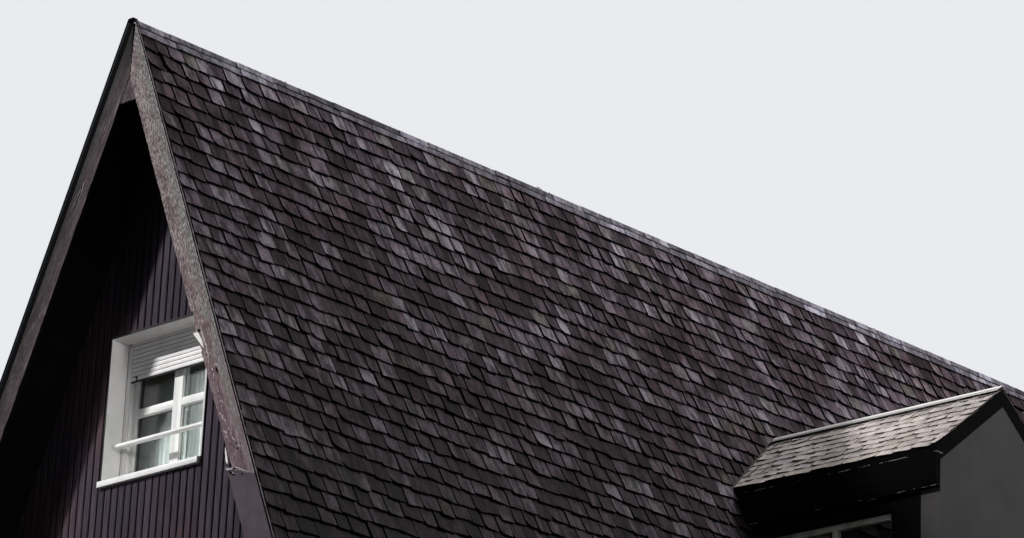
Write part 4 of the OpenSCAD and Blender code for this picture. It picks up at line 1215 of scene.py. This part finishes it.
# The black foot seal reaches 11 mm below the bar: a rubber foot, and below it a painted shadow line under the shutter.
for name, low, high, edge, material in (
        ("shutter_foot_seal_and_shadow", (x0 + 0.004, Y_SLAT + 0.001, z0 - 0.011),
         (x1 - 0.004, y1 - 0.001, z0 + 0.0045), 0.0015, packing_and_shade),
        ("shutter_stop_arm", (stop_x - 0.026, Y_SLAT - 0.011, z0 + 0.027),
         (stop_x + 0.012, Y_SLAT - 0.0032, z0 + 0.035), 0.002, seal),
        ("shutter_stop_foot", (stop_x + 0.006, Y_SLAT - 0.013, z0),
         (stop_x + 0.013, Y_SLAT - 0.0032, z0 + 0.031), 0.002, seal)):
    eased_block(name, low, high, edge, material, "shutter_plastic")
rounded_copy("shutter_guides", "shutter_rails", 0.0012, "white_metal", white_sheet)
guide_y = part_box("shutter_guides")[0][1]
# Thin black strips along the guides' outer edges: rubber brushes, and a painted shadow line between the lining and the
# guides.
for name, x in (("guide_shadow_line_left", FRAME_X[0] + 0.0004), ("guide_shadow_line_right", FRAME_X[1] - 0.0034)):
    eased_block(name, (x, guide_y - 0.0012, SILL_TOP + 0.001),
                (x + 0.003, guide_y + 0.001, FRAME_Z[1] - 0.001), 0.0004, seal)

# ---- Guard rail ----
# A white enamelled tube across the opening, with a round flange screwed to the lining at each end.
RAIL_Y, RAIL_Z, RAIL_D = -5.414, 1.395, 0.041
rail_parts = []
for x, length, wide, edge in ((LEAF_MID, FRAME_X[1] - FRAME_X[0] - 0.008, RAIL_D, 0.0),
                              (FRAME_X[0] + 0.003, 0.006, RAIL_D + 0.028, 0.002),
                              (FRAME_X[1] - 0.003, 0.006, RAIL_D + 0.028, 0.002),
                              (FRAME_X[0] + 0.010, 0.010, RAIL_D + 0.006, 0.0025),
                              (FRAME_X[1] - 0.010, 0.010, RAIL_D + 0.006, 0.0025)):
    bpy.ops.object.select_all(action="DESELECT")
    bpy.ops.mesh.primitive_cylinder_add(vertices=40, radius=wide / 2, depth=length, location=(x, RAIL_Y, RAIL_Z),
                                        rotation=(0, math.pi / 2, 0))
    tube = bpy.context.object
    bpy.ops.object.transform_apply(location=True, rotation=True, scale=True)
    if edge:
        ease(tube, edge, 30)
    coat(tube, sill_paint)
    rail_parts.append(tube)
joined(rail_parts, "guard_tube", ["guard_rail"], "white_metal")

# ---- Curtains ----
# Two sheer white net curtains, gathered on a tape under a slim rail. The left one is thinner at its
# outer side, so the dark room shows through it. Both hang in soft upright folds.
net = new_material("sheer_polyester_net")
thread = texture(net, coordinates(net, "UV", (260, 14, 1)), 1.0, 3.0)
spot = axes(net, coordinates(net))
# The left net grows more see-through towards its top, and both nets turn almost clear in a band just under the shutter,
# so the dark room shows there: painted shade of the overhang and the shutter.
thin = product(net, [(spot["X"], -0.47, 0.04, 0.20, 0.80), (spot["Z"], 1.32, 1.74, 1.0, 0.24)])
sheer = calc(net, "MAXIMUM", thin, mapped(net, spot["X"], 0.050, 0.066, 0, 0.97))
sheer = calc(net, "MULTIPLY", sheer, mapped(net, spot["Z"], 1.972, 1.986, 1.0, 0.02))
finish(net, ramp(net, thread, (0.3, "dfe4e2"), (0.65, "fafbfa")), 0.85, (thread, 0.2, 0.0005), Alpha=sheer)
CURTAIN_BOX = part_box("curtain_left")
HANG_Y, HANG_FOOT, HANG_TOP = (CURTAIN_BOX[0][1] + CURTAIN_BOX[1][1]) / 2, CURTAIN_BOX[0][2], CURTAIN_BOX[1][2]
TAPE, HEM, FOLD_DEPTH = 0.001, 0.006, 0.0108


def hang_curtain(name, node, x0, x1, folds, seed):
    """A net curtain as one fine grid: tight pleats at the tape open into fewer, deeper folds below."""
    cloth = grid(name, folds * 16, 40)
    for point in cloth.data.vertices:
        across, down = (point.co.x + 1) / 2, (1 - point.co.y) / 2
        phase = 2 * math.pi * (folds * across + 0.35 * ripple(across * 5, down * 1.4, seed))
        deep = 0.0055 + 0.0030 * ripple(across * folds * 0.5, down * 1.2, seed + 4)
        fold = math.sin(phase) * deep + math.sin(phase * 0.5 + 1.3) * 0.0022 * down
        x = x0 + (x1 - x0) * (0.012 + 0.976 * across) + 0.004 * math.cos(phase) * down
        hem = 0.004 * math.sin(phase * 0.5) * max(0, down - 0.9) * 10
        point.co = (min(max(x, x0), x1), HANG_Y + max(-FOLD_DEPTH, min(FOLD_DEPTH, fold)),
                    HANG_TOP - TAPE - (HANG_TOP - HANG_FOOT - HEM) * down + hem)
    top = sorted((p.co.x, p.co.y) for p in cloth.data.vertices if abs(p.co.z - HANG_TOP + TAPE) < 1e-4)
    wide = sum(math.dist(a, b) for a, b in zip(top, top[1:]))
    for spot_uv in cloth.data.uv_layers[0].data:
        spot_uv.uv = (spot_uv.uv[0] * wide, spot_uv.uv[1] * (HANG_TOP - HANG_FOOT))
    thicken(cloth, 0.0004, 0)
    bpy.ops.object.shade_smooth()
    coat(cloth, net)
    settle(cloth, "curtain_fabric", node)


right_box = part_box("curtain_right")
hang_curtain("net_curtain_left", "curtain_left", -0.53, CURTAIN_BOX[1][0] + 0.007, 10, 3)
hang_curtain("net_curtain_right", "curtain_right", right_box[0][0] - 0.007, right_box[1][0], 11, 8)

# ---- Back window ----
# The back gable has the same window without shutter and rail: the same profiles and lining,
# turned to face the other way.
rounded_copy("back_surround", "back_reveal_lining", 0.0015, "white_metal", white_sheet)
rounded_copy("back_sill", "back_pressed_sill", 0.0015, "white_metal", sill_paint)
for piece in window_pieces:
    turned = bpy.data.objects.new("back_" + piece.name, piece.data.copy())
    scene.collection.objects.link(turned)
    for point in turned.data.vertices:
        point.co.y = -point.co.y
    turned.data.flip_normals()
    settle(turned, "white_plastic", "back_frame" if "frame" in turned.name else "back_sashes")

# ---- Side dormer: slates and ridge strip ----
# A small dormer on the right slope carries thicker, paler stone slates in courses of 130 mm, cut
# close along the main roof. A strip of folded zinc covers its ridge; its flanks are coloured darker than its fold, a
# painted highlight along the fold.
WING_COURSE, WING_START, WING_END = 0.130, 0.8, 3.400
wing_rise = math.sin(WING_PITCH)


def wing_front(s, v, o):
    """A point s along the side dormer, v down its front slope and o out from its boarding."""
    return (s, WING_Y - v * math.cos(WING_PITCH) - o * wing_rise, WING_RIDGE - v * wing_rise + o * math.cos(WING_PITCH))


def wing_rear(s, v, o):
    x, y, z = wing_front(s, v, o)
    return (x, 2 * WING_Y - y, z)


def off_main_roof(points):
    """Cuts a slate of the side dormer where it meets the slates of the main roof."""
    points = keep_side(points, lambda s, v: s - 0.004 - (
        (APEX - (WING_RIDGE + 0.024 - v * wing_rise)) * math.tan(HALF) + 0.034 / math.cos(HALF)))
    return keep_side(points, lambda s, v: WING_END - 0.001 - s) if points else points


pale_slate = slate_finish("pale_limestone_slate", (
    (0.0, "988f8b"), (0.2, "9d948d"), (0.5, "a59c97"), (0.8, "ada39f"), (1.0, "b4aaa6")), "dcdde4", (0.86, 1.18),
    0.6, under=0.68, joint=0.30, crest=1.2, painted_light_across=(1.30, 0.95))
pale_edge = edge_dirt_and_shade("limestone_slate_edge", "2b2827", "5c5753")
wing_tails = [WING_HALF / math.cos(WING_PITCH) - WING_COURSE * i for i in range(9)][::-1]
wing_tails = [v for v in wing_tails if v > 0.06]
for name, slope, node, seed in (("pale_slates_front", wing_front, "wing_slates_front", 21),
                                ("pale_slates_rear", wing_rear, "wing_slates_rear", 27)):
    slates = lay_slates(name, slope, WING_START, WING_END + 0.3, wing_tails, WING_COURSE, 0.013, 0.017, off_main_roof,
                        random.Random(seed), width=(0.15, 0.23), gap=(0.010, 0.020), thick=0.006, lively=0.85)
    coat(slates, pale_slate, pale_edge)
    settle(slates, "pale_slate", node)

bright_zinc = new_material("bright_folded_zinc")  # new-looking sheet, satin, with faint rolling lines; coloured brighter along its fold than on its flanks, a painted highlight
line = texture(bright_zinc, coordinates(bright_zinc, stretch=(3, 60, 60)), 1.0, 4.0)
off_ridge = calc(bright_zinc, "SUBTRACT", axes(bright_zinc, coordinates(bright_zinc))["Y"], WING_Y)
fold_highlight = mapped(bright_zinc, calc(bright_zinc, "ABSOLUTE", off_ridge), 0.028, 0.040, 1.0, 0.40)
zinc_with_fold_highlight = scaled(bright_zinc, ramp(bright_zinc, line, (0.3, "c9c5c2"), (0.7, "f2efec")), fold_highlight)
finish(bright_zinc, zinc_with_fold_highlight, 0.5, (line, 0.1, 0.001), Metallic=0.2)
wear(bright_zinc, "wing_ridge_strip")

# ---- Side dormer: fascias, wall and window ----
# Tarred boards, coloured almost black, tar and the painted shade under the eaves, with the tar chipped off in
# places. A pale line of bare wood runs along the fascia's lower edge. The window is an old white-painted frame with one
# post.
tarred = new_material("chipped_tar_and_shade_board")
chip = texture(tarred, coordinates(tarred, stretch=(7, 20, 42)), 1.0, 7.0, 0.6)
height = axes(tarred, coordinates(tarred))["Z"]
chipped = chip
for line_z in (FASCIA_Z + 0.004, 2.042):
    off_line = calc(tarred, "ABSOLUTE", calc(tarred, "SUBTRACT", height, line_z))
    chipped = calc(tarred, "ADD", chipped, mapped(tarred, off_line, 0.003, 0.007, 0.17, 0))
tint = ramp(tarred, chipped, (0.3, "010101"), (0.66, "050505"), (0.725, "0b0b0b"), (0.745, "8c847c"))
finish(tarred, tint, 0.85, (chip, 0.4, 0.003), spec=0.03)
rounded_copy("wing_fascias", "tarred_fascias", 0.002, "black_board", tarred)
wear(tarred, "wing_wall_front")


def trowelled(name, damp, dry):
    """A trowelled coat, sandy and patchy from the rain."""
    coat_of = new_material(name)
    where = coordinates(coat_of)
    tint = ramp(coat_of, texture(coat_of, where, 2.5, 5.0), (0.3, damp), (0.7, dry))
    return finish(coat_of, tint, 0.92, (texture(coat_of, where, 90.0, 5.0), 0.5, 0.003))


render_coat = trowelled("grey_cement_render", "2c2a2a", "3b3837")
wear(render_coat, "wing_wall_rear", "party_wall")
old_paint = white_finish("old_white_gloss_paint", "c9c6bd", "77736b", 0.5)
rounded_copy("wing_frame", "dormer_window_frame", 0.002, "white_plastic", old_paint)
dark_glass = glass.copy()
dark_glass.name = "dusty_float_glass"
wear(dark_glass, "wing_glass")

# ---- Inside and structure ----
# The room under the roof: planed softwood linings, boarded floor on a concrete slab, plastered
# gable walls, rafters and sheathing that show at the eaves and behind the barge boards.
def wood_finish(name, dark, pale, stretch, rough):
    """Planed softwood with its grain drawn out along the boards."""
    return coated(name, ((0.3, dark), (0.68, pale)), 1.0, 6.0, rough, relief=(0.25, 0.001), stretch=stretch,
                  fine=0.6, warp=0.6)


rough_timber = wood_finish("sooty_sawn_timber", "1f1a17", "3a322c", (60, 3, 60), 0.85)
lining_wood = wood_finish("pale_lining_board", "b9b0a0", "d9d2c6", (45, 2.5, 45), 0.6)
floor_wood = wood_finish("waxed_floor_board", "7a5b3c", "a6835c", (45, 2.5, 45), 0.45)
plaster = trowelled("limewashed_plaster", "c8c2b6", "ddd8ce")
wear(rough_timber, "roof_left", "roof_right_front", "roof_right_rear", "roof_right_over")
wear(tarred, "wing_roof_front", "wing_roof_rear")
wear(lining_wood, "linings")
wear(floor_wood, "floor_boards")
wear(render_coat, "floor_slab", "wing_floor")
wear(plaster, "front_wall", "back_wall")
wear(white_sheet, "shutter_box")
wear(sill_paint, "curtain_rail")
wear(soffit_tar_and_shade, "soffits")
